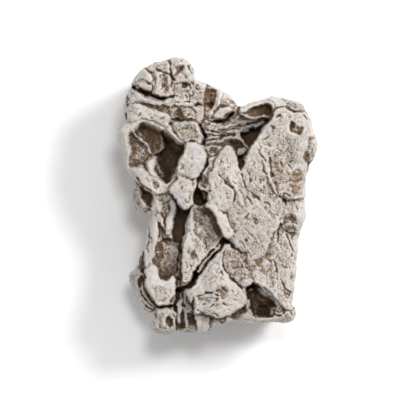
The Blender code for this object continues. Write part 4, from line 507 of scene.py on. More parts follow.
rightSide = {
    "sideMiddle": plate(20.2, lean=(-0.16, 0), rough=0.55, stain=0.26, grain=1, edge=[
        (282, 196), (295, 195), (304, 191), (307, 205), (306, 222), (300, 234), (292, 232), (284, 228), (281, 220),
        (281, 208)]),
    "sideLower": plate(19.6, lean=(-0.08, 0.03), round=0.8, rough=0.5, stain=0.26, grain=1.1, speck=1.1, edge=[
        (274, 226), (284, 223), (292, 224), (299, 236), (298, 262), (296, 290), (294, 308), (284, 308), (276, 298),
        (262, 287), (254, 280), (250, 268), (246, 258), (250, 246), (262, 240)]),
    "roundPit": pit(0.5, stain=0.5, rough=0.9, edge=[
        (293.5, 171), (297, 168.6), (301, 170.5), (302, 176), (300, 181), (296.4, 181), (293.6, 177)]),
    "roundPitCore": plate(20.2, round=0.3, rough=0.4, stain=0.3, edge=[
        (297, 172.6), (299.6, 172.6), (299.6, 176), (297.4, 176)]),
    "roundPitLine": crack(0.5, 1.5, 0.4, [(287.5, 179.6), (292, 180.6), (298, 180.8), (301.5, 178)]),
    "sideDots": crack(0.5, 1.8, 0.5, [(281, 161.6), (282.6, 165.4)]),
    "sideDotsTwo": crack(0.5, 1.4, 0.5, [(285.6, 164), (290, 164.8), (293.6, 168.4)]),
    "sideMarks": crack(0.4, 1.3, 0.5, [(281, 149.6), (283.4, 153.4)]),
    "sideMarksTwo": crack(0.4, 1.2, 0.4, [(288.4, 152.8), (292.4, 153)]),
    "sideTick": crack(0.5, 1.6, 0.6, [(280.4, 188.6), (281.4, 191)]),
    "sideBlot": tint(gold=0.8, stain=0.5, rough=0.6, soft=2.5, edge=[
        (287, 176), (303, 168), (306, 180), (304, 190), (296, 194), (290, 190)]),
    "swirlOuter": crack(0.7, [1.4, 1.8, 1.6, 1.2], 0.35, [
        (281.6, 197.6), (284.6, 194.6), (288.6, 194.6), (291.6, 198)], stain=0.65),
    "swirlInner": crack(0.6, [1.3, 1.5, 1.3], 0.35, [(285, 198.2), (288, 197.6), (289.8, 200.6)], stain=0.6),
    "swirlEye": crack(1.2, [2.6, 2.6, 1.6], 0.75, [(284.8, 199.4), (286, 201.6), (286.8, 205)]),
    "ringMark": crack(0.5, 1.3, 0.4, [(301, 202.6), (297.6, 203.4), (296.8, 206.6), (299, 208)]),
    "sideHollow": pit(1.3, stain=0.95, dark=0, rough=1.3, wall=1.3, soft=1.6, grain=1.5, edge=[
        (285, 215), (290, 210.5), (295.6, 213.4), (298.8, 222), (297.4, 225), (291, 222), (285, 225), (281.6, 226.6),
        (282.6, 220)]),
    "sideHollowLine": crack(0.9, [2.4, 1.6, 1.4, 1.6, 1.2], 0.5, [
        (281, 225.4), (284.6, 224.4), (288, 221.4), (292.8, 221.4), (297.4, 224.4)]),
    "sideHollowLow": pit(0.9, stain=0.5, dark=0, rough=1.1, wall=0.9, soft=1, edge=[
        (283.6, 226.6), (290, 223.6), (297, 226.4), (297, 234), (292.6, 240), (288, 236)]),
    "sideLine": crack(1, [1.2, 1.8, 1.6, 2.6, 2.2, 1.2], 0.5, [
        (285.4, 231.6), (289.4, 238.8), (290.9, 244), (293.3, 249), (293, 254), (292.4, 258)]),
    "sideSeam": crack(0.8, [2, 1.6, 1.8, 1.2], 0.45, [(278.2, 228), (278, 234), (277.6, 240), (278, 243)]),
    "underTongue": pit(0.5, gold=0.9, stain=0.55, dark=0, rough=0.7, wall=0.6, soft=0.6, edge=[
        (252.6, 259.6), (262, 255.8), (268, 251.6), (271.4, 255), (270.6, 258.6), (266.4, 258.8), (262.8, 260.4),
        (261.4, 264), (259.4, 268), (256.6, 265.4), (255.4, 262)]),
    "underLineA": crack(0.7, [1.4, 1.8, 1.2], 0.6, [(265.6, 258.2), (269, 261), (272.2, 264)]),
    "underLineB": crack(0.7, [1.6, 1.8, 1.4, 1.2, 1], 0.5, [
        (273, 258.8), (275, 264.5), (276.2, 272.6), (277.5, 279.4), (278.2, 286)]),
    "underDent": pit(0.4, stain=0.4, rough=0.5, soft=0.9, edge=[
        (261.4, 269), (263, 268.6), (265, 274), (263.4, 275)]),
    "dotted": tint(stain=0.38, rough=1.1, speck=1.5, soft=1.6, edge=[
        (247, 262), (252, 262), (257, 270), (256, 279), (250, 280)]),
    "edgeRough": tint(stain=0.36, rough=1.2, speck=1.3, soft=1.6, edge=[
        (288, 260), (293, 266), (296, 274), (294, 281), (289.6, 276)]),
    "lowerGroove": crack(1.1, [1.2, 2.2, 2.8, 1.6], 0.55, [
        (281.2, 278.6), (284, 284.6), (287, 289.4), (290.6, 293.6)], stain=0.8),
    "lowerRough": pit(0.5, stain=0.5, rough=1.5, soft=0.8, edge=[
        (283, 289), (287, 288.6), (291, 294), (289, 300), (284.6, 296.6)]),
    "bottomLip": plate(17.2, lean=(-0.02, -0.05), round=0.6, edge=[
        (228, 323), (232, 318), (243, 318.5), (252, 318), (262, 318), (272, 318), (282, 314), (292, 308), (298, 310),
        (297, 321), (284, 325), (262, 325.5), (240, 323.5)]),
    "lowerCavity": pit(5, floor=11, wall=0.8, stain=0.95, dark=0.45, edge=[
        (245.4, 284.6), (250, 281.6), (255.8, 281.6), (259.6, 285.4), (264, 290.5), (269.2, 295.6), (275, 298.8),
        (276.4, 303.3), (277, 307), (275, 310.6), (273, 317.2), (262.8, 318), (252.4, 317.2), (250, 311.4),
        (247.8, 309), (247, 301.4), (246.4, 293)]),
    "cavityGlow": plate(13.6, gold=0.9, lean=(0.2, -0.2), round=0.5, rough=0.8, stain=0.85, wall=3, edge=[
        (257, 290), (263, 291.5), (270, 297), (271, 302), (264, 302), (258, 300)]),
    "cavityLeftWall": plate(12.4, lean=(-0.3, 0), round=0.5, rough=0.9, stain=0.9, wall=3, edge=[
        (249, 294), (255, 293), (259, 301), (258, 311), (253, 314), (249.6, 306)]),
    "cavityCurls": plate(16.8, lean=(0.15, 0), round=0.4, rough=1.4, stain=0.45, wall=6, edge=[
        (271.5, 308.5), (275, 306.6), (280, 307.6), (284.6, 308.6), (284, 314), (280, 318), (273.5, 318),
        (271.6, 313)]),
    "curlA": crack(1, 1.8, 0.8, [(272.6, 309.4), (276, 310), (278.6, 312.4), (281.4, 311)]),
    "curlB": crack(0.8, 1.5, 0.7, [(277.4, 308), (281, 308.8), (283.8, 309.8), (283, 313)]),
    "curlC": crack(0.8, 1.6, 0.7, [(274.6, 313), (277, 315.4), (280.4, 315)]),
    "cavityDash": plate(15, round=0.3, rough=0.2, stain=0.12, wall=6, edge=[
        (248, 290.2), (250, 289), (252.8, 288), (252.6, 289.8), (250, 290.8)]),
    "cavitySliver": plate(17.4, round=0.3, rough=0.2, wall=7, edge=[
        (247.4, 301.6), (249, 301.4), (249.2, 306), (248.6, 310.6), (247.2, 310.4)]),
    "lipLine": crack(0.8, [1.2, 1.6, 1.8, 1.4], 0.6, [(262.8, 286.4), (266.6, 289.2), (270.4, 292), (273.2, 295)]),
    "lipStep": plate(17.4, round=0.4, rough=0.3, stain=0.25, wall=5, edge=[
        (260, 287), (266, 290.6), (271.6, 295.4), (276, 297.4), (275, 300), (269, 297.6), (262, 291.6)]),
    "cavityCorner": plate(17.6, round=0.5, rough=0.2, stain=0.08, edge=[
        (243, 314.6), (246, 311.6), (250.6, 312), (252.4, 318), (246, 319)]),
    "knob": plate(16.4, lean=(-0.3, 0), round=0.5, rough=0.2, stain=0.25, edge=[
        (291, 306), (293, 304.4), (296, 309), (296, 317), (292, 317.4), (290.2, 312.6)]),
    "knobCrease": crack(1.2, [1.4, 2, 1.6], 0.6, [(291.4, 306), (290.8, 311), (291.6, 316.4)]),
}

leftColumn = {
    "columnUpper": plate(18.2, lean=(0, 0.05), round=0.6, rough=0.4, stain=0.18, grain=1, edge=[
        (150, 194), (158, 191), (168, 190), (171, 197), (176, 203), (175, 212), (171, 222), (172, 231), (167, 236),
        (163, 230), (158, 222), (151, 214), (149, 203)]),
    "columnLump": plate(18.8, round=0.5, crown=0.4, rough=0.2, stain=0.12, grain=0.5, edge=[
        (154.6, 201), (157.6, 199), (161.6, 201), (161.8, 208), (158.6, 212.6), (155.4, 209)]),
    "columnRubble": tint(stain=0.42, rough=1.3, speck=1.2, soft=1.6, edge=[
        (161, 200), (170, 201), (169, 214), (163, 220), (161, 210)]),
    "columnStrip": plate(18.6, round=0.5, crown=0.2, rough=0.15, stain=0.06, grain=0.4, edge=[
        (168.4, 203), (172, 199), (176, 205), (174.8, 213), (172, 219), (172.2, 225), (171.4, 230), (166.6, 233),
        (165, 236), (164.2, 228), (165.2, 220), (168, 214)]),
    "stripSeam": crack(0.8, 1.5, 0.5, [(168.4, 203), (168.4, 210), (165.6, 216), (164, 222), (163.8, 230)]),
    "rubbleBar": crack(0.7, 1.4, 0.55, [(163, 213.2), (166, 213.4), (168.6, 212.6)]),
    "rubbleBarTwo": crack(0.7, 1.4, 0.5, [(160.4, 211.6), (161.6, 215), (163.6, 218)]),
    "rubbleHook": crack(0.8, [1.8, 1.4], 0.7, [(174.2, 199.4), (176.6, 202.4)]),
    "columnPale": plate(17.9, lean=(0.06, 0.02), stain=0.08, grain=1, edge=[
        (144, 214), (150, 210), (156, 218), (158, 227), (158, 236.5), (156.5, 244.6), (153.8, 252.6), (151.8, 259.3),
        (152.5, 264.7), (156.5, 268), (158, 274), (150, 272), (143, 264), (143, 248), (145, 236), (147, 222)]),
    "columnSlot": crack(1, [1.4, 2.8, 3.6, 3], 0.15, [
        (159.5, 222), (160.6, 228), (161.4, 234), (162.4, 240)], stain=0.75),
    "columnEdgeLine": crack(0.6, 1.3, 0.4, [(148.4, 222), (149.4, 232), (147.4, 242), (147.4, 252)]),
    "columnTick": crack(0.5, 1.4, 0.5, [(150.4, 237), (150.8, 242)]),
    "footTicks": crack(0.5, [1.6, 1.2, 1.8], 0.5, [(152, 271), (153.6, 275), (155.6, 278.4)]),
    "earRecess": pit(0.6, gold=0.9, floor=13.8, stain=0.5, dark=0, rough=1.6, wall=1.2, soft=1, grain=1.8, edge=[
        (138, 184), (143, 186), (150, 190), (155, 196), (154, 203), (150.6, 208), (145.6, 206), (141.6, 202),
        (139, 194)]),
    "earRecessFoot": pit(0.4, stain=0.66, dark=0.15, rough=1.2, soft=1.6, edge=[
        (140, 192), (144, 193), (148, 200), (150, 206), (145.6, 205), (141.6, 200)]),
    "columnRecess": pit(1.6, floor=16, wall=0.35, stain=0.42, dark=0, rough=0.6, speck=1.2, grain=1.2, edge=[
        (157, 243), (163, 238.4), (171, 238.5), (179.4, 243), (179, 256), (177.4, 268), (175, 275), (166, 280),
        (160.6, 280.6), (158, 276), (155, 270), (152.4, 264), (152, 259), (153.6, 252.6), (156, 245)]),
    "recessShade": pit(0.8, wall=1.4, stain=0.66, rough=1.1, soft=2.2, edge=[
        (157, 246), (162, 242), (164.6, 248), (163, 258), (161, 266), (162, 276), (158.6, 274), (155, 265),
        (153, 258)]),
    "recessHead": pit(0.5, stain=0.68, rough=0.5, soft=1.2, edge=[
        (164, 239), (171, 238.8), (178, 243), (178, 249), (171, 247), (165, 246)]),
    "recessMark": pit(0.6, stain=0.95, dark=0.4, wall=0.4, edge=[
        (160, 255), (162, 253.6), (162.4, 257), (160.6, 258)]),
    "recessRim": ridge(0.5, 1.6, [(160, 281), (165.9, 280), (170.5, 277.6), (173.2, 275)], stain=0.02),
    "edgeChunk": pit(0.8, stain=0.7, dark=0, rough=1, edge=[
        (141.4, 256), (142.4, 262), (142.4, 270.6), (137, 270), (136.4, 265), (138.4, 259)]),
    "chunkCrack": crack(1.6, [1.4, 2.2, 2], 0.9, [(142, 253.4), (142.4, 258), (142.6, 263)]),
}

wedge = {
    "wedge": plate(19.4, lean=(-0.05, -0.04), round=0.5, rough=0.4, stain=0.2, grain=1.2, speck=1, edge=[
        (190.6, 207.6), (198, 206.5), (207, 210), (213, 222), (218, 231), (223, 240), (215, 246), (210.7, 250.6),
        (206.7, 255), (203.6, 259.4), (200, 264), (195.6, 269.4), (192, 274), (190, 279), (186.6, 283), (182.4, 282),
        (180.8, 275.4), (181.4, 262), (182, 248.6), (185.4, 235.2), (188.6, 219)]),
    "wedgeTan": pit(0.5, wall=0.4, stain=0.44, rough=0.7, speck=1.6, grain=1.4, soft=0.6, edge=[
        (192, 208), (203, 208), (212, 222), (217, 232), (222, 240), (213, 247.5), (207.6, 251), (205.4, 244.8),
        (202, 239.4), (196, 236), (192.8, 231.4), (192, 218)]),
    "wedgeStep": crack(0.5, [1.2, 1.6, 1.8, 1.4], 0.4, [
        (192.6, 229), (196, 235.4), (201, 239), (205, 243.4), (207.4, 250)], stain=0.6),
    "wedgeShade": pit(1, gold=0.9, floor=17.7, stain=0.6, dark=0, rough=1.3, wall=0.9, soft=1.6, grain=1.5, edge=[
        (199, 207), (205, 208.6), (210, 212.6), (213.6, 220), (217.4, 226.6), (220.6, 233), (221.6, 238.4),
        (218, 238), (213.4, 231), (210, 223), (206, 215)]),
    "wedgeShadeHead": tint(stain=0.6, rough=0.8, soft=2, edge=[
        (194, 207), (201, 207), (208, 213), (208, 219), (202, 216), (196, 212)]),
    "wedgeDimple": pit(0.5, stain=0.62, rough=0.6, wall=0.4, edge=[
        (190, 251.6), (193.4, 250), (194.6, 247.4), (196, 252), (198, 257), (194.4, 258.6), (191, 257.6)]),
    "wedgeStreak": crack(0.5, [1.2, 1.8, 1.4], 0.5, [(188.2, 244.4), (188.2, 248), (189, 252)]),
    "wedgeGroove": crack(0.5, [1.4, 1.8, 1.6], 0.25, [(184, 253.3), (185.2, 261), (186.8, 268)], stain=0.4),
    "wedgeNotch": crack(0.5, 1.4, 0.6, [(204, 247.4), (204.6, 252.6)]),
    "wedgeSlit": crack(0.5, 1.4, 0.5, [(190, 216), (189, 222), (189, 231)]),
    "wedgeSlitTwo": crack(0.4, 1.3, 0.6, [(192.6, 219), (196, 220.4)]),
    "darkSlot": pit(2.8, floor=13.8, stain=0.95, dark=0.75, rough=0.7, edge=[
        (176.6, 206.4), (180, 207.7), (185.3, 210), (190.6, 207.7), (189.3, 212.4), (187.3, 219), (185.3, 226.5),
        (183.3, 233.8), (181.8, 239), (181, 244.6), (178, 242.5), (173.2, 241.2), (171.9, 236.5), (171.9, 230),
        (172.6, 224.5), (173.2, 218.4), (175.9, 211.7)]),
    "slotCorner": plate(15, round=0.4, rough=1, stain=0.85, wall=4, edge=[
        (166.6, 232.6), (170, 230), (173, 231), (173, 237), (169, 237.6)]),
    "longCrack": crack(2.6, [3.4, 3.2, 2.8, 2.4, 2, 2.4], 0.85, [
        (180.6, 242), (179.4, 250), (178.2, 258), (177.4, 266), (176.8, 275), (176.6, 284)], floor=15.8, stain=0.95),
    "crackBrown": crack(1, [1.8, 2.4, 2.8, 3.4], 0.1, [
        (180.4, 252), (179.8, 262), (179.4, 272), (179.4, 280)], stain=0.7),
}

lowerPlate = {
    "tanPlate": plate(19.6, lean=(-0.05, 0.05), round=0.5, rough=0.6, stain=0.38, grain=0.8, speck=1.5, edge=[
        (224, 242), (231, 240), (240, 246), (247, 252), (251, 262), (254, 270), (253, 281), (248, 286), (240, 288),
        (232, 280), (226, 270), (222, 258)]),
    "tanShade": tint(stain=0.55, rough=0.6, soft=2.5, edge=[
        (223, 246), (229, 242), (236, 247), (243, 254), (238, 256), (230, 250), (226, 256)]),
    "tanLines": crack(0.5, [1.2, 1.8, 1.8, 1.4], 0.4, [(243, 261), (246, 267), (248.4, 273), (250, 279)], stain=0.62),
    "tanLinesTwo": crack(0.4, 1.4, 0.4, [(241.6, 264), (243.6, 271), (245, 278)], stain=0.6),
    "lowerPlate": plate(20.9, lean=(0.03, 0.05), crown=0.6, rough=0.35, stain=0.13, grain=1, speck=0.9, edge=[
        (225, 246), (220, 251.4), (215, 256.4), (209.4, 261.6), (205.4, 267.4), (201, 272.6), (197.6, 277),
        (194.4, 282.4), (189.6, 287.6), (185, 291.6), (188, 300), (192.6, 306), (194, 313), (203, 314.4), (212, 316),
        (222, 318), (231, 315), (241, 308.6), (246.8, 303.6), (246.6, 297), (243.6, 291.4), (236.4, 284.6),
        (230.4, 278.6), (225.6, 271), (222.4, 262), (222.6, 252)]),
    "sideCrease": crack(0.8, [1.2, 1.8, 3, 3.6, 2.6, 1.4], 0.1, [
        (225.6, 271), (229.6, 276.6), (234.4, 281.6), (238.6, 285.8), (241.8, 290), (244, 294.6)], stain=0.68),
    "creaseSlit": crack(0.6, [1.3, 1.6, 1.3], 0.5, [(232, 280), (236.6, 284.6), (241.6, 290.6)]),
    "upperDiagonal": crack(2.2, [1.8, 1.6, 1.6, 1.8, 2, 2.4], 0.85, [
        (221.6, 240.4), (215.6, 245.4), (211, 250.4), (207.4, 255.8), (204, 260),
        (199.4, 266)], floor=16.4, stain=0.95),
    "diagonalEnd": crack(2.6, [3, 5.4, 7, 7.4], 0.85, [
        (200, 265.6), (197, 270), (195, 274.6), (192.4, 279.4)], floor=15.4, stain=0.95),
    "lowerDiagonal": crack(2.6, [2.6, 2.6, 2.6, 2.8, 3.2, 4.2, 5], 0.85, [
        (225.6, 241.6), (220, 248.4), (214.6, 254.6), (209, 259.6), (204.4, 265.4), (200, 271.4),
        (195.6, 277.6)], floor=16.2, stain=0.95),
    "wideDiagonal": crack(3.2, [6.6, 6.4, 5.8, 5.6], 0.9, [
        (194, 280), (189.6, 285), (183.6, 288.4), (177.4, 290)], floor=14.8, stain=0.95),
    "diagonalSliver": plate(18.9, round=0.3, rough=0.9, stain=0.34, grain=0.8, speck=1.3, wall=30, blend=0.05, edge=[
        (219, 244.4), (216.9, 245.5), (212, 251.4), (207.4, 256.8), (203.2, 261.8), (199.2, 267.4), (196, 272),
        (198.4, 273.4), (201.8, 269.2), (205.8, 263.8), (209.8, 258.6), (214.3, 253.3), (219.4, 247.4)]),
    "junction": pit(2.6, floor=15.8, stain=0.9, dark=0.6, edge=[
        (219.4, 240), (223.6, 237.8), (229, 240.4), (230, 243.4), (225.4, 245.6), (220.6, 244.4)]),
    "tipCrack": crack(1.6, [2.8, 2.8, 2.2, 2, 1.4], 0.5, [
        (227.6, 241), (232.4, 244.6), (237, 248.4), (242, 252.4), (246.6, 255)], stain=0.8),
    "tipCurls": crack(0.7, 1.4, 0.5, [(243.6, 254), (247, 252.6), (250, 254), (252.6, 258)]),
    "plateGroove": crack(1.1, [1.4, 2.4, 2.6, 2.4, 1.8], 0.7, [
        (197.6, 296.4), (202.6, 294.6), (207.6, 292.6), (212.6, 292.2), (216.6, 294.8)]),
    "grooveRubble": tint(stain=0.4, rough=1.3, speck=1.2, soft=1.4, edge=[
        (198, 297), (208, 294.6), (217, 296), (219, 302), (208, 301), (199, 301)]),
    "grooveBits": crack(0.7, [2.2, 1.4], 0.7, [(216.2, 298.4), (218.2, 301)]),
    "grooveBitsTwo": crack(0.6, [1.6, 2, 1.4], 0.6, [(211, 307.4), (212.4, 305.6), (214.4, 304.4)]),
    "grooveBitsThree": crack(0.5, [1.6, 2, 1.2], 0.6, [(223.4, 303.6), (226, 304.8), (228.6, 305)]),
    "grooveBitsFour": crack(0.4, 1.5, 0.4, [(204, 304.4), (206, 303.8)]),
    "grooveStreak": crack(0.5, 1.3, 0.5, [(198.6, 298.4), (201.4, 297.2), (204, 297.6)]),
    "plateDip": pit(0.8, stain=0.55, rough=1.2, soft=1.6, wall=1.2, edge=[
        (213, 289.6), (220, 285), (228, 287), (229.6, 294), (223, 300.4), (216, 297)]),
    "plateSpots": pit(0.5, stain=0.5, rough=1, soft=0.8, edge=[(220.6, 270), (223.6, 268.4), (224, 274), (222, 276)]),
    "plateSpotsLow": crack(0.4, 1.5, 0.4, [(220.6, 277), (221.2, 280), (220.2, 284)]),
    "blockSeam": crack(1, [1.6, 2.2, 1.6, 2], 0.65, [(196.6, 310.4), (200, 312), (203.4, 313.4), (207, 312.6)]),
    "blockSeamTail": crack(0.6, 1.4, 0.6, [(203.6, 313), (203.8, 317.4)]),
    "plateFold": crack(0.6, 1.5, 0.3, [(221, 310.4), (226.6, 309.4), (232.4, 309)], stain=0.5),
}

foot = {
    "foot": plate(19.6, round=0.8, crown=0.7, rough=0.3, grain=0.8, speck=0.8, edge=[
        (145, 270), (150, 265), (156.5, 268), (160.5, 279.6), (168, 280), (174, 276), (175.6, 284), (175, 292),
        (172.8, 297), (169.6, 300.4), (170, 303.6), (163, 305.6), (156.8, 304.6), (152, 299), (146.4, 291),
        (144.4, 281)]),
    "footSlot": crack(0.8, [1.4, 1.8, 1.6, 2.6], 0.65, [(156.6, 293), (158.4, 296.6), (160.4, 299.4), (162.4, 301)]),
    "footPocks": tint(stain=0.3, rough=0.9, speck=1.2, soft=1.4, edge=[
        (154, 288), (164, 289), (168, 297), (161, 302), (155, 296)]),
    "flankGrooveOne": crack(1.6, [1.6, 2.4, 2.6, 2.2, 2, 2.2], 0.75, [
        (143, 270), (143.6, 279), (145.4, 288), (149, 295), (153.6, 301.4), (157.4, 306)]),
    "flankStrip": ridge(0.6, 2, [(140.6, 283), (143, 292), (147.6, 299), (152.6, 305)]),
    "flankGrooveTwo": crack(1, [1.2, 1.8, 2, 1.8], 0.7, [(140.4, 290), (143, 296.6), (147, 302), (152, 306.4)]),
    "flankGrooveThree": crack(1, [1.2, 2, 2.2, 1.6], 0.75, [(140, 300.4), (144, 305), (148, 308.6), (152.4, 311)]),
    "flankHollow": pit(1.3, stain=0.75, dark=0.1, rough=0.9, wall=0.6, edge=[
        (138.4, 276), (141, 275), (141.8, 281), (141.6, 287), (138, 288), (135.6, 283)]),
    "flankSlit": crack(1.6, [1.6, 2.4, 1.8], 0.9, [(141.4, 272), (141, 278), (141, 285)]),
    "underFoot": crack(2.8, [2.6, 3.4, 3.2, 3.4], 0.9, [
        (157.4, 306.6), (162, 307.6), (167.6, 307.4), (173, 306)], floor=15.6),
    "footChannel": crack(2.8, [5.4, 5.6, 5, 4.6, 2.6], 0.9, [
        (177.6, 289.6), (177, 295), (175.4, 301), (174.6, 306), (176, 311)], floor=14),
    "rubble": plate(18.6, round=0.5, crown=0.3, rough=0.5, stain=0.15, edge=[
        (183, 291.6), (187, 288.6), (192.6, 289.4), (193, 296), (187.6, 298), (183.6, 297.4)]),
    "rubbleLow": plate(17.8, round=0.4, rough=1.4, stain=0.55, grain=0.8, edge=[
        (181.6, 297), (187, 298), (193, 297), (194.6, 304), (194, 312), (188, 313), (183, 311), (182.6, 304)]),
    "rubbleSlit": crack(1.4, [2, 3, 2.8, 2], 0.75, [(193.4, 297), (193, 302), (192.6, 307), (193.2, 312.4)]),
    "rubbleSeam": crack(0.9, 1.8, 0.5, [(183.4, 293), (183, 300), (183.6, 306)]),
    "leftToe": plate(17.4, crown=0.4, rough=0.7, stain=0.28, speck=1.1, edge=[
        (154, 314), (158, 309.6), (168, 310), (175, 312), (176.4, 326), (174, 333), (162, 335.5), (153, 334),
        (150, 326)]),
    "toePit": pit(1.5, stain=0.85, dark=0.1, rough=0.7, edge=[
        (164, 319.5), (166.8, 316.8), (170.8, 318.6), (172.4, 322), (172.8, 326), (169, 328.2), (165, 325)]),
    "toePitFoot": tint(stain=0.62, dark=0, edge=[(167, 323.6), (172, 322.6), (172.8, 327), (169, 328.6)]),
    "toeSlot": crack(0.8, 1.8, 0.75, [(171.4, 314), (173.4, 318)]),
    "toeCurl": crack(0.5, 1.4, 0.5, [(157.6, 324), (159.6, 327), (163, 327.6)]),
    "toeShade": crack(1, [1.6, 2.4, 2], 0.3, [(154.4, 308), (155, 314), (154, 320)], stain=0.5),
    "darkToe": crack(2, [1.6, 2.4, 3], 0.6, [(176, 312), (175.8, 319), (176.6, 328)]),
    "darkToeFoot": pit(1.6, stain=0.85, dark=0.4, rough=0.9, wall=0.6, edge=[
        (176, 322), (180, 323.4), (184, 322.4), (186, 327.6), (180, 329.6), (176, 328)]),
    "sliver": plate(17.6, round=0.4, rough=0.4, edge=[
        (177, 303), (180, 298.6), (183, 299.6), (181.8, 304), (183, 309), (180.4, 314), (180, 322), (177, 322.4),
        (177.6, 314), (176.8, 307.6)]),
    "sliverSeam": crack(0.9, [1.4, 2.4, 2.6], 0.45, [(182.6, 310), (182.6, 317), (182, 323)]),
    "sliverTwo": plate(17.2, round=0.4, rough=0.5, stain=0.15, edge=[
        (184.6, 312), (187, 312.6), (187.6, 320), (188.6, 327), (185.8, 327), (184.6, 320)]),
    "tanToe": pit(1.2, stain=0.78, dark=0.15, rough=1, edge=[
        (187.4, 318), (191, 315), (194.6, 317), (195.8, 324), (195, 328.6), (192.6, 325), (189.6, 324)]),
    "tanToeSlit": crack(1, [2.2, 1.6, 1.6], 0.7, [(194.4, 320), (195.2, 325), (194, 330)]),
    "rightToe": plate(17.8, lean=(0, 0.1), round=0.6, crown=0.3, rough=0.2, grain=0.4, speck=0.6, edge=[
        (195, 310), (202, 312), (209.4, 314), (209.6, 325), (206, 331), (197, 333), (195.6, 325)]),
    "lastToe": plate(17.4, lean=(0, 0.1), round=0.6, rough=0.4, stain=0.22, edge=[
        (209, 316), (214, 311), (222, 313), (230, 313), (230, 321), (224, 326), (212, 327)]),
    "toeFacet": pit(0.8, stain=0.5, soft=0.7, edge=[
        (209.8, 316), (213.6, 313), (214.4, 319), (213, 326), (209.8, 326)]),
    "toeFold": crack(0.9, [1.8, 1.6, 1.8, 1.4], 0.6, [(209.6, 315.6), (213, 313.4), (217, 314.6), (219, 319.6)]),
    "toeFoldTail": crack(0.6, 1.4, 0.5, [(218.6, 319), (220.6, 321.4), (223.4, 322)]),
    "cornerHollow": pit(1.8, stain=0.72, dark=0.1, rough=1.1, wall=0.7, edge=[
        (229, 316), (233.8, 311.6), (239, 309), (246, 305.6), (248, 309.6), (243.6, 315), (238, 320), (230, 319.6)]),
    "cornerShade": crack(1.2, [1.8, 2.6, 3.2, 2.4], 0.6, [(232, 312.4), (238, 310), (243.6, 308), (247, 308.4)]),
}

regions = (ground, head, neck, band, topRight, cavity, finger, tongue, rightSide, leftColumn, wedge, lowerPlate,
           foot)

silhouette = [
    (163, 60), (171, 57.5), (181, 58), (190, 64), (193.5, 72), (194, 77.5), (206, 83), (217, 88), (231, 97),
    (237, 104.5), (243, 106), (252, 102.5), (262, 99.5), (271, 96.5), (280, 97), (294, 100), (303, 104), (308, 113),
    (312, 124), (314.5, 134), (317.5, 142), (316.5, 151), (311, 164), (307, 173), (305.2, 192), (305, 208),
    (305, 221), (299.5, 233), (297.5, 252), (296.5, 268), (294.5, 290), (292.5, 303), (296, 311), (295, 319),
    (287, 323), (277, 322), (266, 323), (254, 323.5), (240, 321.5), (230, 321), (224, 325), (213, 326),
    (208, 330.5), (197, 332.5), (184, 331.5), (174, 333), (162, 335), (152, 331), (150.5, 322), (155, 318),
    (147, 311.5), (139, 303), (133, 291), (128, 280), (128.5, 273), (135, 269), (139.5, 258), (143, 250),
    (145.5, 237), (148, 226), (148, 215), (139, 211), (132, 201), (131.5, 191), (135, 181.5), (128, 173.5),
    (125, 166), (121, 152), (117, 140), (118, 129.5), (124, 122.5), (123.5, 111), (124, 100), (129, 89.5),
    (133.5, 79), (140, 70), (150, 64.5),
]

# Run of the streaks: a place in the photograph, and its angle from level in degrees, anticlockwise.
flowHints = [
    ((160, 78), 95), ((140, 80), 70), ((182, 70), 110), ((146, 113), -22), ((185, 100), 176), ((150, 99), -18),
    ((226, 98), 118), ((215, 128), 4), ((240, 122), 22), ((258, 110), 16), ((236, 146), 48), ((140, 150), 100),
    ((126, 145), 92), ((147, 180), -48), ((157, 145), 100), ((188, 130), 62), ((192, 160), 68), ((182, 192), 70),
    ((228, 160), 90), ((245, 185), -62), ((258, 200), -58), ((222, 205), -60), ((250, 228), -66), ((280, 135), 100),
    ((266, 150), -50), ((272, 172), -70), ((292, 185), 60), ((285, 260), -66), ((295, 280), -80), ((150, 235), 88),
    ((167, 258), 90), ((163, 212), 80), ((190, 235), 82), ((206, 225), -58), ((215, 272), 55), ((228, 285), -50),
    ((210, 302), 15), ((240, 265), -60), ((155, 288), -66), ((134, 288), -60), ((165, 322), 82), ((205, 322), 88),
    ((300, 120), 70), ((262, 300), 70), ((240, 318), 8), ((143, 198), 80),
]

sideHollows = (
    ((20.0, -4.0, 9.0), 6.0, 2.6),
    ((17.5, -17.0, 8.0), 5.0, 2.2),
    ((17.0, 13.0, 7.0), 5.0, 2.0),
    ((6.0, -26.5, 8.0), 5.5, 2.4),
    ((-9.0, -29.0, 7.0), 4.5, 1.8),
    ((-16.0, -10.0, 6.5), 5.0, 2.4),
    ((-20.0, 8.0, 8.0), 5.5, 2.4),
    ((-19.0, 22.0, 9.0), 5.0, 2.0),
    ((-6.0, 27.0, 8.0), 5.0, 2.2),
    ((10.0, 20.0, 7.5), 5.0, 2.0),
    ((7.0, 8.0, -1.0), 5.5, 3.0),
    ((-7.0, 14.0, -1.0), 5.0, 2.6),
    ((-4.0, -6.0, -1.5), 6.0, 2.8),
    ((8.0, -15.0, -1.0), 5.5, 3.0),
    ((-8.0, -19.0, -1.0), 4.5, 2.2),
)


def lattice(ix, iy, iz, seed):           # a fixed scatter of values, -1 to 1
    n = (ix * 374761393 + iy * 668265263 + iz * 2147483647 + seed * 1274126177) & 0xFFFFFFFF
    n = ((n ^ (n >> 13)) * 1103515245) & 0xFFFFFFFF
    n = ((n ^ (n >> 16)) * 2654435761) & 0xFFFFFFFF
    return ((n >> 8) & 0xFFFF) / 32767.5 - 1.0


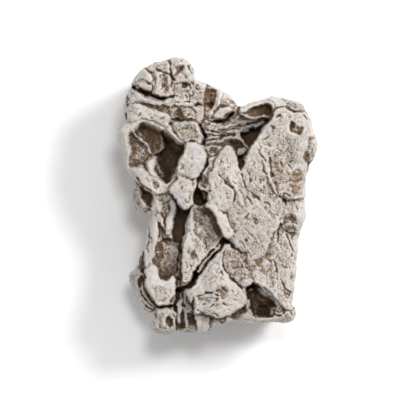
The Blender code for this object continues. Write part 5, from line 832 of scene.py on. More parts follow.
def noise(x, y, z, seed):                # smooth value noise, -1 to 1
    flat = np.ndim(z) == 0
    x, y, z = np.broadcast_arrays(x, y, z)
    corner = [np.floor(v).astype(np.int64) for v in (x, y, z)]
    share = [v - c for v, c in zip((x, y, z), corner)]
    share = [f * f * f * (f * (f * 6 - 15) + 10) for f in share]
    total = 0.0
    for step in np.ndindex(2, 2, 1 if flat else 2):
        weight = 1.0
        for f, s in zip(share, step):
            weight = weight * (f if s else 1 - f)
        total = total + weight * lattice(*(c + s for c, s in zip(corner, step)), seed)
    return total


def layeredNoise(x, y, z, seed, layers=3, gain=0.5):
    total = 0.0
    for layer in range(layers):
        size = 2.03 ** layer
        total = total + gain ** layer * noise(x * size + 7.3 * layer, y * size - 3.1 * layer, z * size, seed + layer)
    return total


def ridgedNoise(x, y, z, seed, layers=3, gain=0.55):        # sharp crests, 0 to 1
    total, most = 0.0, 0.0
    for layer in range(layers):
        size = 2.03 ** layer
        value = 1 - np.abs(noise(x * size + 5.1 * layer, y * size + 2.7 * layer, z * size, seed + layer))
        total = total + gain ** layer * value ** 2
        most += gain ** layer
    return total / most


def smoothStep(low, high, value):
    share = np.clip((value - low) / (high - low), 0, 1)
    return share * share * (3 - 2 * share)


def fromPhoto(points):                   # pixels to millimetres on the stone
    pixels = np.array(points, float)
    return np.stack([(pixels[:, 0] - photoMiddle[0]) * pixel, (photoMiddle[1] - pixels[:, 1]) * pixel], axis=1)


def halfWidths(path, width):             # width given at a few places along the path, in pixels
    given = np.atleast_1d(width).astype(float)
    return np.interp(np.linspace(0, 1, len(path)), np.linspace(0, 1, len(given)), given) * pixel / 2


def rounded(points, closed, steps=4):    # a smooth line through the points
    count = len(points)
    line = []
    for i in range(count if closed else count - 1):
        neighbours = [(i + k) % count if closed else min(max(i + k, 0), count - 1) for k in (-1, 0, 1, 2)]
        a, b, c, d = (points[k] for k in neighbours)
        for t in np.arange(steps) / steps:
            bend = (c - a) * t + (2 * a - 5 * b + 4 * c - d) * t ** 2 + (3 * b - a - 3 * c + d) * t ** 3
            line.append(b + 0.5 * bend)
    if not closed:
        line.append(points[-1])
    return np.array(line)


def insideDistance(outline, x, y):       # positive inside the closed outline
    inside = np.zeros(x.shape, bool)
    nearest = np.full(x.shape, 1e9)
    for (x1, y1), (x2, y2) in zip(outline, np.roll(outline, -1, axis=0)):
        dx, dy = x2 - x1, y2 - y1
        t = np.clip(((x - x1) * dx + (y - y1) * dy) / (dx * dx + dy * dy + 1e-12), 0, 1)
        nearest = np.minimum(nearest, (x - x1 - t * dx) ** 2 + (y - y1 - t * dy) ** 2)
        if dy:
            inside ^= ((y1 > y) != (y2 > y)) & (x < dx * (y - y1) / dy + x1)
    return np.where(inside, 1, -1) * np.sqrt(nearest)


def lineDistance(path, x, y):            # positive inside a line; its third column is the half width
    deepest = np.full(x.shape, -1e9)
    half = np.zeros(x.shape)
    for (x1, y1, w1), (x2, y2, w2) in zip(path[:-1], path[1:]):
        dx, dy = x2 - x1, y2 - y1
        t = np.clip(((x - x1) * dx + (y - y1) * dy) / (dx * dx + dy * dy + 1e-12), 0, 1)
        width = w1 + (w2 - w1) * t
        depth = width - np.hypot(x - x1 - t * dx, y - y1 - t * dy)
        half = np.where(depth > deepest, width, half)
        deepest = np.maximum(depth, deepest)
    return deepest, half


class Relief:                            # the front: height and finish over a flat grid
    step = 0.1
    halfWide, halfLong = 22.0, 30.0

    def __init__(self):
        across = np.arange(-self.halfWide, self.halfWide + self.step, self.step)
        along = np.arange(-self.halfLong, self.halfLong + self.step, self.step)
        x, y = np.meshgrid(across, along)
        self.size = (len(across), len(along))
        self.plainX, self.plainY = x, y
        for name, plain, seed in (("x", x, 11), ("y", y, 21)):        # edges wander a little
            wander = 0.20 * noise(x / 1.5, y / 1.5, 0.0, seed) + 0.12 * noise(x / 0.55, y / 0.55, 0.0, seed + 1)
            setattr(self, name, plain + wander + 0.05 * noise(x / 0.22, y / 0.22, 0.0, seed + 2))
        self.height = stone["baseFloor"] + 0.8 * layeredNoise(x / 2.2, y / 2.2, 0.0, 3)
        self.stain = np.full(x.shape, 0.85)
        self.dark = np.zeros(x.shape)
        # painted shade, 0 to 1, for cracks and holes where shade falls
        self.rough = np.ones(x.shape)
        self.speck = np.full(x.shape, 0.5)
        self.grain = np.ones(x.shape)
        self.gold = np.full(x.shape, 0.3)

    def window(self, line, margin):
        reach = np.array([self.halfWide, self.halfLong])
        low = (line[:, :2].min(axis=0) - margin + reach) / self.step
        high = (line[:, :2].max(axis=0) + margin + reach) / self.step + 2
        (i0, j0), (i1, j1) = (np.clip(v, 0, self.size).astype(int) for v in (low, high))
        return np.s_[j0:j1, i0:i1]

    def paint(self, part, share, **values):
        for name, value in values.items():
            if value is not None:
                field = getattr(self, name)
                field[part] += (value - field[part]) * share

    def plate(self, edge, top, lean=(0, 0), round=0.7, crown=0.0, wall=22.0, blend=0.25,
              stain=0.1, rough=0.25, speck=0.5, grain=0.7, gold=0.3):
        round, crown = 0.5 * round, 0.6 * crown
        line = rounded(fromPhoto(edge), True)
        part = self.window(line, 0.4 + 18 / wall)
        x, y = self.x[part], self.y[part]
        inside = insideDistance(line, x, y) - 0.08
        middle = line.mean(axis=0)
        height = top + lean[0] * (x - middle[0]) + lean[1] * (y - middle[1])
        shoulder = round - np.clip(inside, 0, round)
        height = height - 0.7 * (round - np.sqrt(round ** 2 - shoulder ** 2))
        height = height - crown * (1 - np.clip(inside / max(inside.max(), 0.1), 0, 1)) ** 2
        height = np.where(inside < 0, height + inside * wall, height)
        before = self.height[part]
        share = np.clip(0.5 + 0.5 * (height - before) / blend, 0, 1)
        self.height[part] = before * (1 - share) + height * share + blend * share * (1 - share)
        depthDown = smoothStep(0.3, 3.5, -inside * wall)          # walls go browner and darker downwards: rust, and painted shade
        self.paint(part, share, stain=stain + (0.95 - stain) * depthDown, dark=0.35 * depthDown,
                   rough=rough + 0.3 * depthDown, speck=speck, grain=grain, gold=gold)

    def sink(self, part, share, depth, floor):
        lowered = self.height[part] - 0.85 * depth * share
        if floor is not None:
            lowered = lowered * (1 - share) + np.minimum(lowered, floor) * share
        self.height[part] = lowered

    def pit(self, edge, depth, wall=0.5, floor=None, soft=0.42, stain=0.8, dark=None, rough=0.8,
            speck=None, grain=None, gold=None):
        line = rounded(fromPhoto(edge), True)
        part = self.window(line, 1.2)
        inside = insideDistance(line, self.x[part], self.y[part]) + 0.1
        self.sink(part, smoothStep(0, wall, inside), depth, floor)
        self.paint(part, smoothStep(-0.12, soft - 0.12, inside), stain=stain, dark=dark, rough=rough, speck=speck,
                   grain=grain, gold=gold)

    def crack(self, path, depth, width, dark, lip=0.0, floor=None, stain=0.9):
        line = rounded(np.column_stack([fromPhoto(path), halfWidths(path, width)]), False)
        line[:, 2] = np.maximum(line[:, 2], 0.02)
        part = self.window(line, 1.2)
        x, y = self.x[part], self.y[part]
        inside, half = lineDistance(line, x, y)
        pinch = 0.12 + 0.3 * half                          # the crack narrows and widens along its way
        inside = inside + pinch * (noise(x / 0.8, y / 0.8, 0.0, 17) - 0.25)
        # painted shade inside the crack, weaker in the narrowest
        dark = dark * smoothStep(0.02, 0.42, half)
        depth = min(depth, 1 + 0.6 * depth)                # the deepest are eased a little
        self.sink(part, smoothStep(-0.08, np.maximum(half * 0.8, 0.12), inside), depth, floor)
        self.height[part] += lip * np.exp(-((inside + 0.3) / 0.25) ** 2)
        share = smoothStep(-0.06, 0.12, inside)
        self.stain[part] = np.maximum(self.stain[part], stain * share)
        self.dark[part] = np.maximum(self.dark[part], dark * share)

    def ridge(self, path, rise, width, stain=0.1):
        line = rounded(np.column_stack([fromPhoto(path), halfWidths(path, width)]), False)
        part = self.window(line, 1.2)
        x, y = self.x[part], self.y[part]
        inside, half = lineDistance(line, x, y)
        inside = inside + 0.4 * half * noise(x / 0.7, y / 0.7, 0.0, 19)
        self.height[part] += rise * np.sqrt(np.clip((inside + 0.1) / (half + 0.1), 0, 1))
        self.paint(part, smoothStep(-0.15, 0.1, inside), stain=stain, dark=0.0)

    def tint(self, edge, stain=None, dark=None, rough=None, speck=None, gold=None, soft=1.0):
        line = rounded(fromPhoto(edge), True)
        part = self.window(line, soft)
        inside = insideDistance(line, self.x[part], self.y[part])
        self.paint(part, smoothStep(-soft / 2, soft / 2, inside), stain=stain, dark=dark, rough=rough,
                   speck=speck, gold=gold)

    def lookUp(self, field, x, y):       # read between the grid's points
        u = np.clip((x + self.halfWide) / self.step, 0, self.size[0] - 1.001)
        v = np.clip((y + self.halfLong) / self.step, 0, self.size[1] - 1.001)
        i, j = u.astype(int), v.astype(int)
        u, v = u - i, v - j
        low = field[j, i] * (1 - u) + field[j, i + 1] * u
        high = field[j + 1, i] * (1 - u) + field[j + 1, i + 1] * u
        return low * (1 - v) + high * v


def softened(field, radius):
    across, along = (np.fft.fftfreq(count, Relief.step) for count in field.shape)
    keep = np.exp(-2 * (math.pi * radius) ** 2 * (across[:, None] ** 2 + along ** 2))
    return np.fft.ifft2(np.fft.fft2(field) * keep).real


class Flow:                              # streaks that follow the run of the metal
    turns = 6

    def __init__(self, x, y):
        self.x, self.y = x, y
        cosine, sine = np.zeros(x.shape), np.zeros(x.shape)
        for (u, v), angle in flowHints:
            (px, py), = fromPhoto([(u, v)])
            weight = 1 / (1.0 + (x - px) ** 2 + (y - py) ** 2) ** 2
            cosine += weight * math.cos(2 * math.radians(angle))
            sine += weight * math.sin(2 * math.radians(angle))
        self.angle = np.arctan2(sine, cosine) / 2

    def noise(self, across, along, seed, layers=2):
        total, weights = 0.0, 0.0
        for k in range(self.turns):
            turn = k * math.pi / self.turns
            away = np.abs((self.angle - turn + math.pi / 2) % math.pi - math.pi / 2) * self.turns / math.pi
            weight = np.clip(1 - away, 0, 1)
            u = (self.x * math.cos(turn) + self.y * math.sin(turn)) / along
            v = (self.y * math.cos(turn) - self.x * math.sin(turn)) / across
            total = total + weight * layeredNoise(u, v, 0.0, seed + 10 * k, layers)
            weights = weights + weight ** 2
        return total / np.sqrt(weights)


def furrows(flow, across, along, width, seed):         # thin broken lines where the streak noise crosses zero
    line = 1 - smoothStep(0.0, width, np.abs(flow.noise(across, along, seed)))
    here = smoothStep(-0.1, 0.35, noise(flow.x / 3.1, flow.y / 3.1, 0.0, seed + 5))
    return line * here


def frontRelief():
    relief = Relief()
    for region in regions:
        for feature in region.values():
            feature = dict(feature)
            getattr(relief, feature.pop("kind"))(**feature)
    x, y = relief.x, relief.y
    flow = Flow(relief.plainX, relief.plainY)
    grain = relief.grain
    swell = layeredNoise(x / 3.4, y / 3.4, 0.0, 23, 2)
    streak = flow.noise(0.62, 2.4, 200, 3)
    wide = furrows(flow, 1.7, 5.5, 0.10, 300)
    fine = furrows(flow, 0.8, 2.6, 0.14, 400)
    pocks = smoothStep(0.45, 0.8, noise(x / 0.42, y / 0.42, 0.0, 29))
    pocks = pocks * smoothStep(0.0, 0.4, noise(x / 2.6, y / 2.6, 0.0, 30))       # in patches
    ragged = layeredNoise(x / 0.9, y / 0.9, 0.0, 31, 3, 0.6) - 1.1 * ridgedNoise(x / 0.75, y / 0.75, 0.0, 37, 2)
    wideDepth, fineDepth = stone["furrows"]
    wideStain, fineStain = stone["furrowStain"]
    relief.height += stone["swell"] * swell * (0.4 + grain) + stone["streak"] * streak * grain
    relief.height -= (wideDepth * wide + fineDepth * fine) * grain + stone["pock"] * pocks
    relief.height += stone["roughRelief"] * relief.rough ** 1.3 * (ragged + 0.6)
    relief.stain += (wideStain * wide + fineStain * fine) * np.clip(grain, 0, 1) + stone["pockStain"] * pocks
    relief.flowLevel, relief.flowSlant = np.cos(2 * flow.angle), np.sin(2 * flow.angle)
    relief.height += stone["crispness"] * (relief.height - softened(relief.height, 0.3))
    height = relief.height
    relief.hollowFine = softened(height, 0.3) - height
    relief.hollowMid = softened(height, 0.9) - height
    relief.hollowWide = softened(height, 2.6) - height
    return relief


def edgeDrop(inside, radius):            # how far a rounded edge has dropped at that distance from the silhouette
    shoulder = radius - np.clip(inside, 0, radius)
    return radius - np.sqrt(radius ** 2 - shoulder ** 2)


def sidePlates(place):                   # broken sides and back: plates of unlike height, cracks between them
    spacing = stone["plateSpacing"]
    warp = np.stack([1.6 * noise(*(place / 6.0).T, seed) for seed in (41, 42, 43)], axis=1)
    scaled = (place + warp) / spacing
    cell = np.floor(scaled).astype(np.int64)
    nearest = np.full(len(place), 9.0)
    second = np.full(len(place), 9.0)
    level = np.zeros(len(place))
    for step in np.ndindex(3, 3, 3):
        corner = cell + np.array(step) - 1
        seedPlace = corner + 0.5 + 0.42 * np.stack([lattice(*corner.T, s) for s in (51, 52, 53)], axis=1)
        away = scaled - seedPlace
        distance = np.linalg.norm(away, axis=1)
        tilt = np.stack([lattice(*corner.T, s) for s in (61, 62, 63)], axis=1)
        height = 0.5 + 0.5 * lattice(*corner.T, 54) + 0.5 * (away * tilt).sum(axis=1)
        level = np.where(distance < nearest, height, level)
        second = np.where(distance < nearest, nearest, np.minimum(second, distance))
        nearest = np.minimum(nearest, distance)
    gap = (second - nearest) * spacing
    crackHere = smoothStep(-0.4, 0.2, noise(*(place / 9.0).T, 71))
    gaps = 1.3 * (1 - smoothStep(0.1, 1.1, gap)) * crackHere
    lumps = 0.45 * (1 + layeredNoise(*(place / 3.4).T, 81))
    return stone["plateStep"] * np.clip(level, 0, 1.3) + gaps + lumps


def hollowsIn(place):                    # thumb-sized hollows: centre, radius and depth
    depth = np.zeros(len(place))
    for centre, radius, deepest in sideHollows:
        share = np.clip(1 - (np.linalg.norm(place - np.array(centre), axis=1) / radius) ** 2, 0, 1)
        depth += deepest * share ** 1.5
    return depth


def meshOf(item):                        # the evaluated mesh, as a mesh of its own
    graph = bpy.context.evaluated_depsgraph_get()
    return bpy.data.meshes.new_from_object(item.evaluated_get(graph), depsgraph=graph)


def swapMesh(item, mesh):
    old = item.data
    item.modifiers.clear()
    item.data = mesh
    bpy.data.meshes.remove(old)


def remeshed(item, voxel):
    skin = item.modifiers.new("even skin", "REMESH")
    skin.mode = "VOXEL"
    skin.voxel_size = voxel * mm
    swapMesh(item, meshOf(item))


def readPlaces(mesh):                    # in millimetres
    places = np.empty(len(mesh.vertices) * 3)
    normals = np.empty(len(mesh.vertices) * 3)
    mesh.vertices.foreach_get("co", places)
    mesh.vertex_normals.foreach_get("vector", normals)
    return places.reshape(-1, 3) / mm, normals.reshape(-1, 3)


def writePlaces(mesh, places):
    mesh.vertices.foreach_set("co", (places * mm).ravel())
    mesh.update()


def writeField(mesh, name, values):
    field = mesh.attributes.get(name) or mesh.attributes.new(name, "FLOAT", "POINT")
    field.data.foreach_set("value", np.ascontiguousarray(values, dtype=np.float32))


def smoothBlock():                       # the silhouette drawn out to the stone's thickness
    curve = bpy.data.curves.new("silhouette", "CURVE")
    curve.dimensions = "2D"
    curve.fill_mode = "BOTH"
    curve.extrude = stone["thickness"] / 2 * mm
    curve.resolution_u = 4
    spline = curve.splines.new("BEZIER")
    outline = fromPhoto(silhouette) * mm
    spline.bezier_points.add(len(outline) - 1)
    spline.use_cyclic_u = True
    for point, (x, y) in zip(spline.bezier_points, outline):
        point.co = (x, y, 0.0)
        point.handle_left_type = "AUTO"
        point.handle_right_type = "AUTO"
    drawn = bpy.data.objects.new("silhouette", curve)
    bpy.context.scene.collection.objects.link(drawn)
    bpy.context.view_layer.update()
    mesh = meshOf(drawn)
    bpy.data.objects.remove(drawn, do_unlink=True)
    shell = bmesh.new()
    shell.from_mesh(mesh)
    bmesh.ops.remove_doubles(shell, verts=shell.verts, dist=1e-6)
    bmesh.ops.recalc_face_normals(shell, faces=shell.faces)
    shell.to_mesh(mesh)
    shell.free()
    block = bpy.data.objects.new("stone", mesh)
    bpy.context.scene.collection.objects.link(block)
    remeshed(block, stone["blockVoxel"])
    return block


def shapeFrontAndBack(block, relief):
    places, _ = readPlaces(block.data)
    x, y, z = places.T
    inside = insideDistance(rounded(fromPhoto(silhouette), True), x, y)
    share = np.clip(z / stone["thickness"] + 0.5, 0, 1)
    front = relief.lookUp(relief.height, x, y) - edgeDrop(inside, stone["frontRound"])
    back = edgeDrop(inside, stone["backRound"]) + stone["backSwell"] * noise(x / 9.0, y / 9.0, 0.0, 91)
    places[:, 2] = back + share * (front - back)
    writePlaces(block.data, places)
    return share


def breakSides(block, share):
    places, normals = readPlaces(block.data)
    amount = smoothStep(0, 1, (stone["sideStart"] - share) / 0.22)
    broken = amount > 0
    depth = sidePlates(places[broken]) + hollowsIn(places[broken])
    places[broken] -= normals[broken] * (amount[broken] * depth)[:, None]
    calm = evened(places, neighbourPairs(block.data), 5)
    places += 0.9 * amount[:, None] * (calm - places)     # no thin flakes where two broken faces meet
    writePlaces(block.data, places)


def neighbourPairs(mesh):
    pairs = np.empty(len(mesh.edges) * 2, dtype=np.int64)
    mesh.edges.foreach_get("vertices", pairs)
    return pairs.reshape(-1, 2)


def evened(values, pairs, rounds):       # each point becomes the mean of its neighbours, again and again
    a, b = pairs.T
    count = np.bincount(a, minlength=len(values)) + np.bincount(b, minlength=len(values))
    for _ in range(rounds):
        total = np.stack([np.bincount(a, values[b, k], len(values)) + np.bincount(b, values[a, k], len(values))
                          for k in range(values.shape[1])], axis=1)
        values = total / count[:, None]
    return values


def addGrain(block, relief):             # the finest relief, all over the stone
    places, normals = readPlaces(block.data)
    frontness = smoothStep(0.0, 0.5, normals[:, 2])
    rough = relief.lookUp(relief.rough, places[:, 0], places[:, 1]) * frontness + 1.3 * (1 - frontness)
    ragged = layeredNoise(*(places / 1.1).T, 101, 2, 0.6) - 1.1 * ridgedNoise(*(places / 0.9).T, 107, 2)
    grain = layeredNoise(*(places / 0.5).T, 111, 2, 0.6)
    lift = (1 - frontness) * stone["roughRelief"] * rough * (ragged + 0.6)        # the front has its own already
    lift = lift + stone["fineRelief"] * (0.5 + rough) * grain
    places += normals * lift[:, None]
    writePlaces(block.data, places)


def thinned(block, triangles):
    group = block.vertex_groups.new(name="spare")
    _, normals = readPlaces(block.data)
    weights = 1 - stone["frontShare"] * smoothStep(-0.2, 0.4, normals[:, 2])
    levels = np.round(weights * 10).astype(int)
    for level in np.unique(levels):
        group.add(np.flatnonzero(levels == level).tolist(), level / 10, "REPLACE")
    fewer = block.modifiers.new("thinned", "DECIMATE")
    fewer.ratio = triangles / sum(len(face.vertices) - 2 for face in block.data.polygons)
    fewer.use_collapse_triangulate = True
    fewer.vertex_group = group.name
    fewer.vertex_group_factor = 1.0
    swapMesh(block, meshOf(block))


def withoutCrumbs(block):                # only the stone itself stays, no loose crumbs of mesh beside it
    shell = bmesh.new()
    shell.from_mesh(block.data)
    seen = set()
    bodies = []
    for start in shell.verts:
        if start in seen:
            continue
        seen.add(start)
        body = [start]
        for point in body:
            for edge in point.link_edges:
                other = edge.other_vert(point)
                if other not in seen:
                    seen.add(other)
                    body.append(other)
        bodies.append(body)
    bodies.sort(key=len)
    crumbs = [point for body in bodies[:-1] for point in body]
    bmesh.ops.delete(shell, geom=crumbs, context="VERTS")
    shell.to_mesh(block.data)
    shell.free()
    return len(bodies) - 1


def fitToFrame(block):                   # onto the solid's own box, with its lowest lumps worn flat
    places, _ = readPlaces(block.data)
    low, high = (np.array(corner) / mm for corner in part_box("meteorite"))
    lowest = places[:, 2].min() + stone["restCut"]
    places[:, 2] = np.maximum(places[:, 2] - lowest, 0)
    mine = np.stack([places.min(axis=0), places.max(axis=0)])
    places = (places - mine[0]) / (mine[1] - mine[0]) * (high - low) + low
    writePlaces(block.data, places)
    return mine, low, high


def writeFinish(block, relief, mine, low, high):       # what the material reads at each point
    places, normals = readPlaces(block.data)
    local = (places - low) / (high - low) * (mine[1] - mine[0]) + mine[0]
    frontness = smoothStep(0.0, 0.35, normals[:, 2]) * smoothStep(6.0, 9.0, local[:, 2])
    pairs = neighbourPairs(block.data)
    sunk = {}
    smooth = places
    done = 0
    # how sunk each point is at three widths; the material turns this into rust and painted shade in the hollows
    for name, rounds in (("hollowFine", 2), ("hollowMid", 14), ("hollowWide", 90)):
        smooth = evened(smooth, pairs, rounds - done)
        done = rounds
        sunk[name] = ((smooth - places) * normals).sum(axis=1)
    patches = layeredNoise(*(places / 2.4).T, 131)
    elsewhere = dict(sunk)
    # the sides and back: the wide hollows are browned with rust and painted shade, and the deepest get painted shade
    # as well
    elsewhere["stain"] = 0.08 + 0.75 * smoothStep(-0.1, 0.45, sunk["hollowWide"] + 0.16 * patches)
    elsewhere["dark"] = 0.5 * smoothStep(0.4, 0.9, sunk["hollowWide"])
    below = relief.lookUp(softened(relief.height, 1.6), local[:, 0], local[:, 1]) - local[:, 2]
    within = insideDistance(rounded(fromPhoto(silhouette), True), local[:, 0], local[:, 1])
    walls = smoothStep(0.0, 2.5, below) * smoothStep(0.8, 1.8, within) * smoothStep(6.0, 9.0, local[:, 2])
    elsewhere["stain"] = np.maximum(elsewhere["stain"], 0.8 * walls)
    for name, value in (("rough", 0.9), ("speck", 0.9), ("gold", 0.2), ("flowLevel", 0.7), ("flowSlant", 0.7)):
        elsewhere[name] = np.full(len(places), value)
    for name, values in elsewhere.items():
        front = relief.lookUp(getattr(relief, name), local[:, 0], local[:, 1])
        writeField(block.data, name, front * frontness + values * (1 - frontness))


def linear(r, g, b):                     # a colour as an eye reads it, 0 to 255
    return tuple(((v / 255 + 0.055) / 1.055) ** 2.4 if v > 10 else v / 255 / 12.92 for v in (r, g, b)) + (1.0,)


iron = {
    "colours": (                         # from worn crests to the bottoms of the hollows
        (0.00, (200, 193, 186)),
        (0.18, (180, 171, 163)),
        (0.36, (152, 139, 126)),
        (0.55, (124, 106, 88)),
        (0.75, (99, 78, 59)),
        (1.00, (70, 53, 40)),
    ),
    "gold": (128, 97, 60),               # rusty tint in the sheltered hollows
    "cool": (176, 174, 174),             # bluish patches on the bare plates
    "metal": 0.15,
    "roughness": 0.62,
    "marks": {                           # how much each kind of mark stains, and how far it stands out
        "fleck": (0.34, -0.6),
        "wrinkle": (0.30, -0.8),
        "scribble": (0.42, -0.8),
        "grit": (0.8, 0.3),
        "stipple": (0.40, -0.4),
    },
    "hollows": {                         # how much each width of hollow browns the colour, as rust and as painted shade, or pales the crests, at least and at most
        "hollowFine": (2.0, -0.30, 0.30),
        "hollowMid": (0.35, -0.10, 0.13),
        "hollowWide": (0.10, -0.06, 0.06),
    },
    "bumpDistance": 0.00014,             # metres
    "bumpStrength": 0.8,
}


class Nodes:                             # short calls for laying out a node tree
    def __init__(self, tree):
        self.tree = tree
        self.column = 0

    def add(self, kind, **settings):
        node = self.tree.nodes.new(kind)
        node.location = (self.column * 180, 0)
        self.column += 1
        for name, value in settings.items():
            setattr(node, name, value)
        return node

    def set(self, node, name, value):
        socket = node.inputs[name]
        if isinstance(value, bpy.types.NodeSocket):
            self.tree.links.new(value, socket)
        else:
            socket.default_value = value

    def math(self, operation, a, b=None, c=None, clamp=False):
        node = self.add("ShaderNodeMath", operation=operation, use_clamp=clamp)
        for i, value in enumerate((a, b, c)):
            if value is not None:
                self.set(node, i, value)
        return node.outputs[0]

    def span(self, value, low, high, start=0.0, end=1.0):
        node = self.add("ShaderNodeMapRange", interpolation_type="SMOOTHSTEP")
        for name, entry in (("Value", value), ("From Min", low), ("From Max", high),
                            ("To Min", start), ("To Max", end)):
            self.set(node, name, entry)
        return node.outputs["Result"]

    def mix(self, share, a, b):
        node = self.add("ShaderNodeMix", data_type="RGBA")
        for index, value in ((0, share), (6, a), (7, b)):
            self.set(node, index, value)
        return node.outputs[2]

    def field(self, name):
        node = self.add("ShaderNodeAttribute", attribute_name=name)
        return node.outputs["Fac"]

    def noise(self, vector, scale, detail=3.0, roughness=0.55):
        node = self.add("ShaderNodeTexNoise")
        for name, value in (("Vector", vector), ("Scale", scale), ("Detail", detail), ("Roughness", roughness)):
            self.set(node, name, value)
        return node.outputs["Fac"]


def streaks(n, place, flow, size):       # noise drawn out along the run of the metal, -0.5 to 0.5
    total = 0.0
    for turn, (axis, sign) in enumerate(((0, 1.0), (1, 1.0), (0, -1.0), (1, -1.0))):
        turned = n.add("ShaderNodeMapping")
        n.set(turned, "Vector", place)
        turned.inputs["Rotation"].default_value = (0.0, 0.0, math.radians(-45 * turn))
        drawn = n.add("ShaderNodeMapping")
        n.set(drawn, "Vector", turned.outputs["Vector"])
        drawn.inputs["Scale"].default_value = (0.26, 1.0, 0.8)
        value = n.math("SUBTRACT", n.noise(drawn.outputs["Vector"], size, 2.5, 0.6), 0.5)
        share = n.math("MULTIPLY", flow[axis], sign, clamp=True)
        total = n.math("MULTIPLY_ADD", value, share, total)
    return total


def paleIron():
    material = bpy.data.materials.new("paleIron")
    material.use_nodes = True
    tree = material.node_tree
    shader = tree.nodes["Principled BSDF"]
    n = Nodes(tree)
    place = n.add("ShaderNodeTexCoord").outputs["Object"]
    stain, dark, rough, speck, gold = (n.field(name) for name in ("stain", "dark", "rough", "speck", "gold"))
    flow = [n.field(name) for name in ("flowLevel", "flowSlant")]
    hollows = {name: n.field(name) for name in iron["hollows"]}
    patch = n.noise(place, 260.0, 3.0)
    mottle = n.noise(place, 1100.0, 4.0, 0.65)
    grain = n.noise(place, 3600.0, 3.0, 0.6)
    strand = streaks(n, place, flow, 3600.0)
    stipple = n.span(n.noise(place, 5200.0, 2.0, 0.6), 0.50, 0.64)
    stipple = n.math("MULTIPLY", stipple, n.math("MULTIPLY_ADD", speck, 0.5, 0.55, clamp=True))
    crease = n.math("ABSOLUTE", streaks(n, place, flow, 900.0))
    here = n.span(n.noise(place, 420.0, 2.0), 0.42, 0.60)
    fleck = n.math("MULTIPLY", n.span(strand, 0.06, 0.16), n.math("MULTIPLY", speck, 1.5, clamp=True), clamp=True)
    wrinkle = n.math("MULTIPLY", n.span(crease, 0.0, 0.035, 1.0, 0.0), here)
    grit = n.math("SUBTRACT", n.noise(place, 7000.0, 1.0), 0.5)
    sway = n.add("ShaderNodeTexNoise")
    for name, value in (("Vector", place), ("Scale", 1500.0), ("Detail", 2.0)):
        n.set(sway, name, value)
    moved = n.add("ShaderNodeVectorMath", operation="MULTIPLY_ADD")
    n.set(moved, 0, sway.outputs["Color"])
    moved.inputs[1].default_value = (0.0009, 0.0009, 0.0009)
    n.set(moved, 2, place)
    cells = n.add("ShaderNodeTexVoronoi", feature="DISTANCE_TO_EDGE")
    n.set(cells, "Vector", moved.outputs[0])
    n.set(cells, "Scale", 1250.0)
    scribble = n.span(cells.outputs["Distance"], 0.0, 0.10, 1.0, 0.0)
    ragged = n.math("MULTIPLY", n.span(rough, 0.3, 0.9), n.span(n.noise(place, 650.0, 2.0), 0.40, 0.56))
    scribble = n.math("MULTIPLY", scribble, ragged)
    # how stained and shaded: the painted stain, the small hollows with their rust and painted shade, and an uneven
    # weathering
    amount = n.math("MULTIPLY", stain, 0.62)
    bare = n.math("MULTIPLY_ADD", stain, -0.7, 1.0, clamp=True)
    for name, (factor, least, most) in iron["hollows"].items():
        hollow = n.add("ShaderNodeClamp")
        n.set(hollow, "Value", n.math("MULTIPLY", n.math("MULTIPLY", hollows[name], factor), bare))
        n.set(hollow, "Min", least)
        n.set(hollow, "Max", most)
        amount = n.math("ADD", hollow.outputs["Result"], amount)
    marks = {"fleck": fleck, "wrinkle": wrinkle, "scribble": scribble, "grit": grit, "stipple": stipple}
    for name, (stains, _) in iron["marks"].items():
        amount = n.math("MULTIPLY_ADD", marks[name], stains, amount)
    uneven = n.math("MULTIPLY_ADD", rough, 0.4, 0.40)
    uneven = n.math("MULTIPLY_ADD", stain, 1.4, uneven)
    amount = n.math("MULTIPLY_ADD", n.math("SUBTRACT", mottle, 0.5), uneven, amount)
    amount = n.math("MULTIPLY_ADD", n.math("SUBTRACT", grain, 0.5), n.math("MULTIPLY", uneven, 1.3), amount)
    amount = n.math("MULTIPLY_ADD", n.math("SUBTRACT", patch, 0.5), 0.60, amount)
    amount = n.math("ADD", amount, -0.04)
    # painted shade in cracks and holes pushes the colour darker
    amount = n.math("MULTIPLY_ADD", dark, 0.35, amount, clamp=True)
    ramp = n.add("ShaderNodeValToRGB")
    stops = ramp.color_ramp.elements
    for position, _ in iron["colours"][1:-1]:
        stops.new(position)
    for stop, (position, colour) in zip(stops, iron["colours"]):
        stop.position = position
        stop.color = linear(*colour)
    n.set(ramp, "Fac", amount)
    goldPatch = n.span(n.math("MULTIPLY_ADD", gold, 0.3, patch), 0.50, 0.72)
    goldShare = n.math("MULTIPLY", n.span(stain, 0.25, 0.7), goldPatch)
    goldShare = n.math("MULTIPLY", goldShare, n.math("MULTIPLY_ADD", gold, 0.38, 0.16, clamp=True))
    colour = n.mix(goldShare, ramp.outputs["Color"], linear(*iron["gold"]))
    cool = n.math("MULTIPLY", n.span(n.noise(place, 190.0, 2.0), 0.50, 0.62), n.span(amount, 0.1, 0.5, 0.45, 0.0))
    colour = n.mix(cool, colour, linear(*iron["cool"]))
    tree.links.new(colour, shader.inputs["Base Color"])
    shine = n.math("MULTIPLY_ADD", amount, 0.28, iron["roughness"])
    shine = n.math("MULTIPLY_ADD", n.math("SUBTRACT", grain, 0.5), 0.25, shine, clamp=True)
    tree.links.new(shine, shader.inputs["Roughness"])
    metallic = n.math("MULTIPLY", n.math("SUBTRACT", 1.0, amount), iron["metal"])
    tree.links.new(metallic, shader.inputs["Metallic"])
    height = n.math("ADD", n.math("MULTIPLY", mottle, 0.5), n.math("MULTIPLY", grain, 0.35))
    for name, (_, lifts) in iron["marks"].items():
        height = n.math("MULTIPLY_ADD", marks[name], lifts, height)
    bump = n.add("ShaderNodeBump")
    n.set(bump, "Height", height)
    bump.inputs["Distance"].default_value = iron["bumpDistance"]
    bump.inputs["Strength"].default_value = iron["bumpStrength"]
    tree.links.new(bump.outputs["Normal"], shader.inputs["Normal"])
    return material


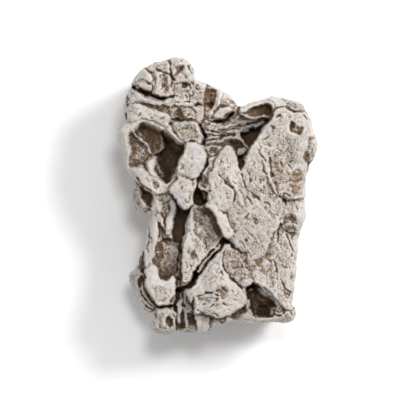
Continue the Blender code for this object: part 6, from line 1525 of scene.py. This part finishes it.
def makeStone():
    print("meteorite: relief of the front")
    relief = frontRelief()
    print("meteorite: block")
    block = smoothBlock()
    share = shapeFrontAndBack(block, relief)
    print("meteorite: sides and back")
    breakSides(block, share)
    remeshed(block, stone["skinVoxel"])
    print("meteorite: grain,", len(block.data.vertices), "points")
    addGrain(block, relief)
    print("meteorite: thinning")
    thinned(block, stone["triangles"])
    crumbs = withoutCrumbs(block)
    print("meteorite: crumbs taken off,", crumbs)
    mine, low, high = fitToFrame(block)
    print("meteorite: finish,", len(block.data.polygons), "faces")
    writeFinish(block, relief, mine, low, high)
    block.data.materials.clear()
    block.data.materials.append(paleIron())
    block.data.shade_smooth()
    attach(block, "root")
    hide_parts("meteorite")


makeStone()

studio = {
    "floorColour": (250, 250, 250),
    "skyStrength": 0.52,
    "lamps": {                           # place, size and power
        "key": ((0.31, 0.205, 0.36), 0.17, 2.15),
        "top": ((0.05, 0.17, 0.62), 0.14, 1.4),
    },
    "lens": 900.0,
    "lookAtPixel": (208.0, 208.0),
    "frameWidth": 416 * pixel,
    "lookAtHeight": 12.0,
}


def makeStage():
    bpy.ops.mesh.primitive_plane_add(size=3.0, location=(0, 0, 0))
    floor = bpy.context.object
    floor.name = "floor"
    material = bpy.data.materials.new("paleFloor")
    material.use_nodes = True
    shader = material.node_tree.nodes["Principled BSDF"]
    shader.inputs["Base Color"].default_value = linear(*studio["floorColour"])
    shader.inputs["Roughness"].default_value = 0.9
    shader.inputs["Specular IOR Level"].default_value = 0.1
    floor.data.materials.append(material)


def makeLights():
    world = bpy.data.worlds.new("studio")
    bpy.context.scene.world = world
    world.use_nodes = True
    sky = world.node_tree.nodes["Background"]
    sky.inputs["Color"].default_value = (1.0, 1.0, 1.0, 1.0)
    sky.inputs["Strength"].default_value = studio["skyStrength"]
    for name, (place, size, power) in studio["lamps"].items():
        light = bpy.data.lights.new(name, "AREA")
        light.shape = "DISK"
        light.size = size
        light.energy = power
        lamp = bpy.data.objects.new(name, light)
        lamp.location = place
        lamp.rotation_euler = (Vector((0, 0, 0.01)) - lamp.location).to_track_quat("-Z", "Y").to_euler()
        bpy.context.scene.collection.objects.link(lamp)


def makeCamera():
    outline = rounded(fromPhoto(silhouette), True)
    middle = (outline.min(axis=0) + outline.max(axis=0)) / 2
    centreX, centreY = fromPhoto([studio["lookAtPixel"]])[0] - middle        # the solid's box has its middle at 0
    camera = bpy.data.cameras.new("camera")
    camera.sensor_width = 36.0
    camera.lens = studio["lens"]
    distance = studio["frameWidth"] * studio["lens"] / camera.sensor_width + studio["lookAtHeight"]
    camera.clip_start = 0.01
    camera.clip_end = 10.0
    eye = bpy.data.objects.new("camera", camera)
    eye.location = (centreX * mm, centreY * mm, distance * mm)
    bpy.context.scene.collection.objects.link(eye)
    bpy.context.scene.camera = eye


print("stage, lights and camera")
makeStage()
makeLights()
makeCamera()
bpy.context.scene.view_settings.view_transform = "Standard"
bpy.context.scene.view_settings.look = "None"
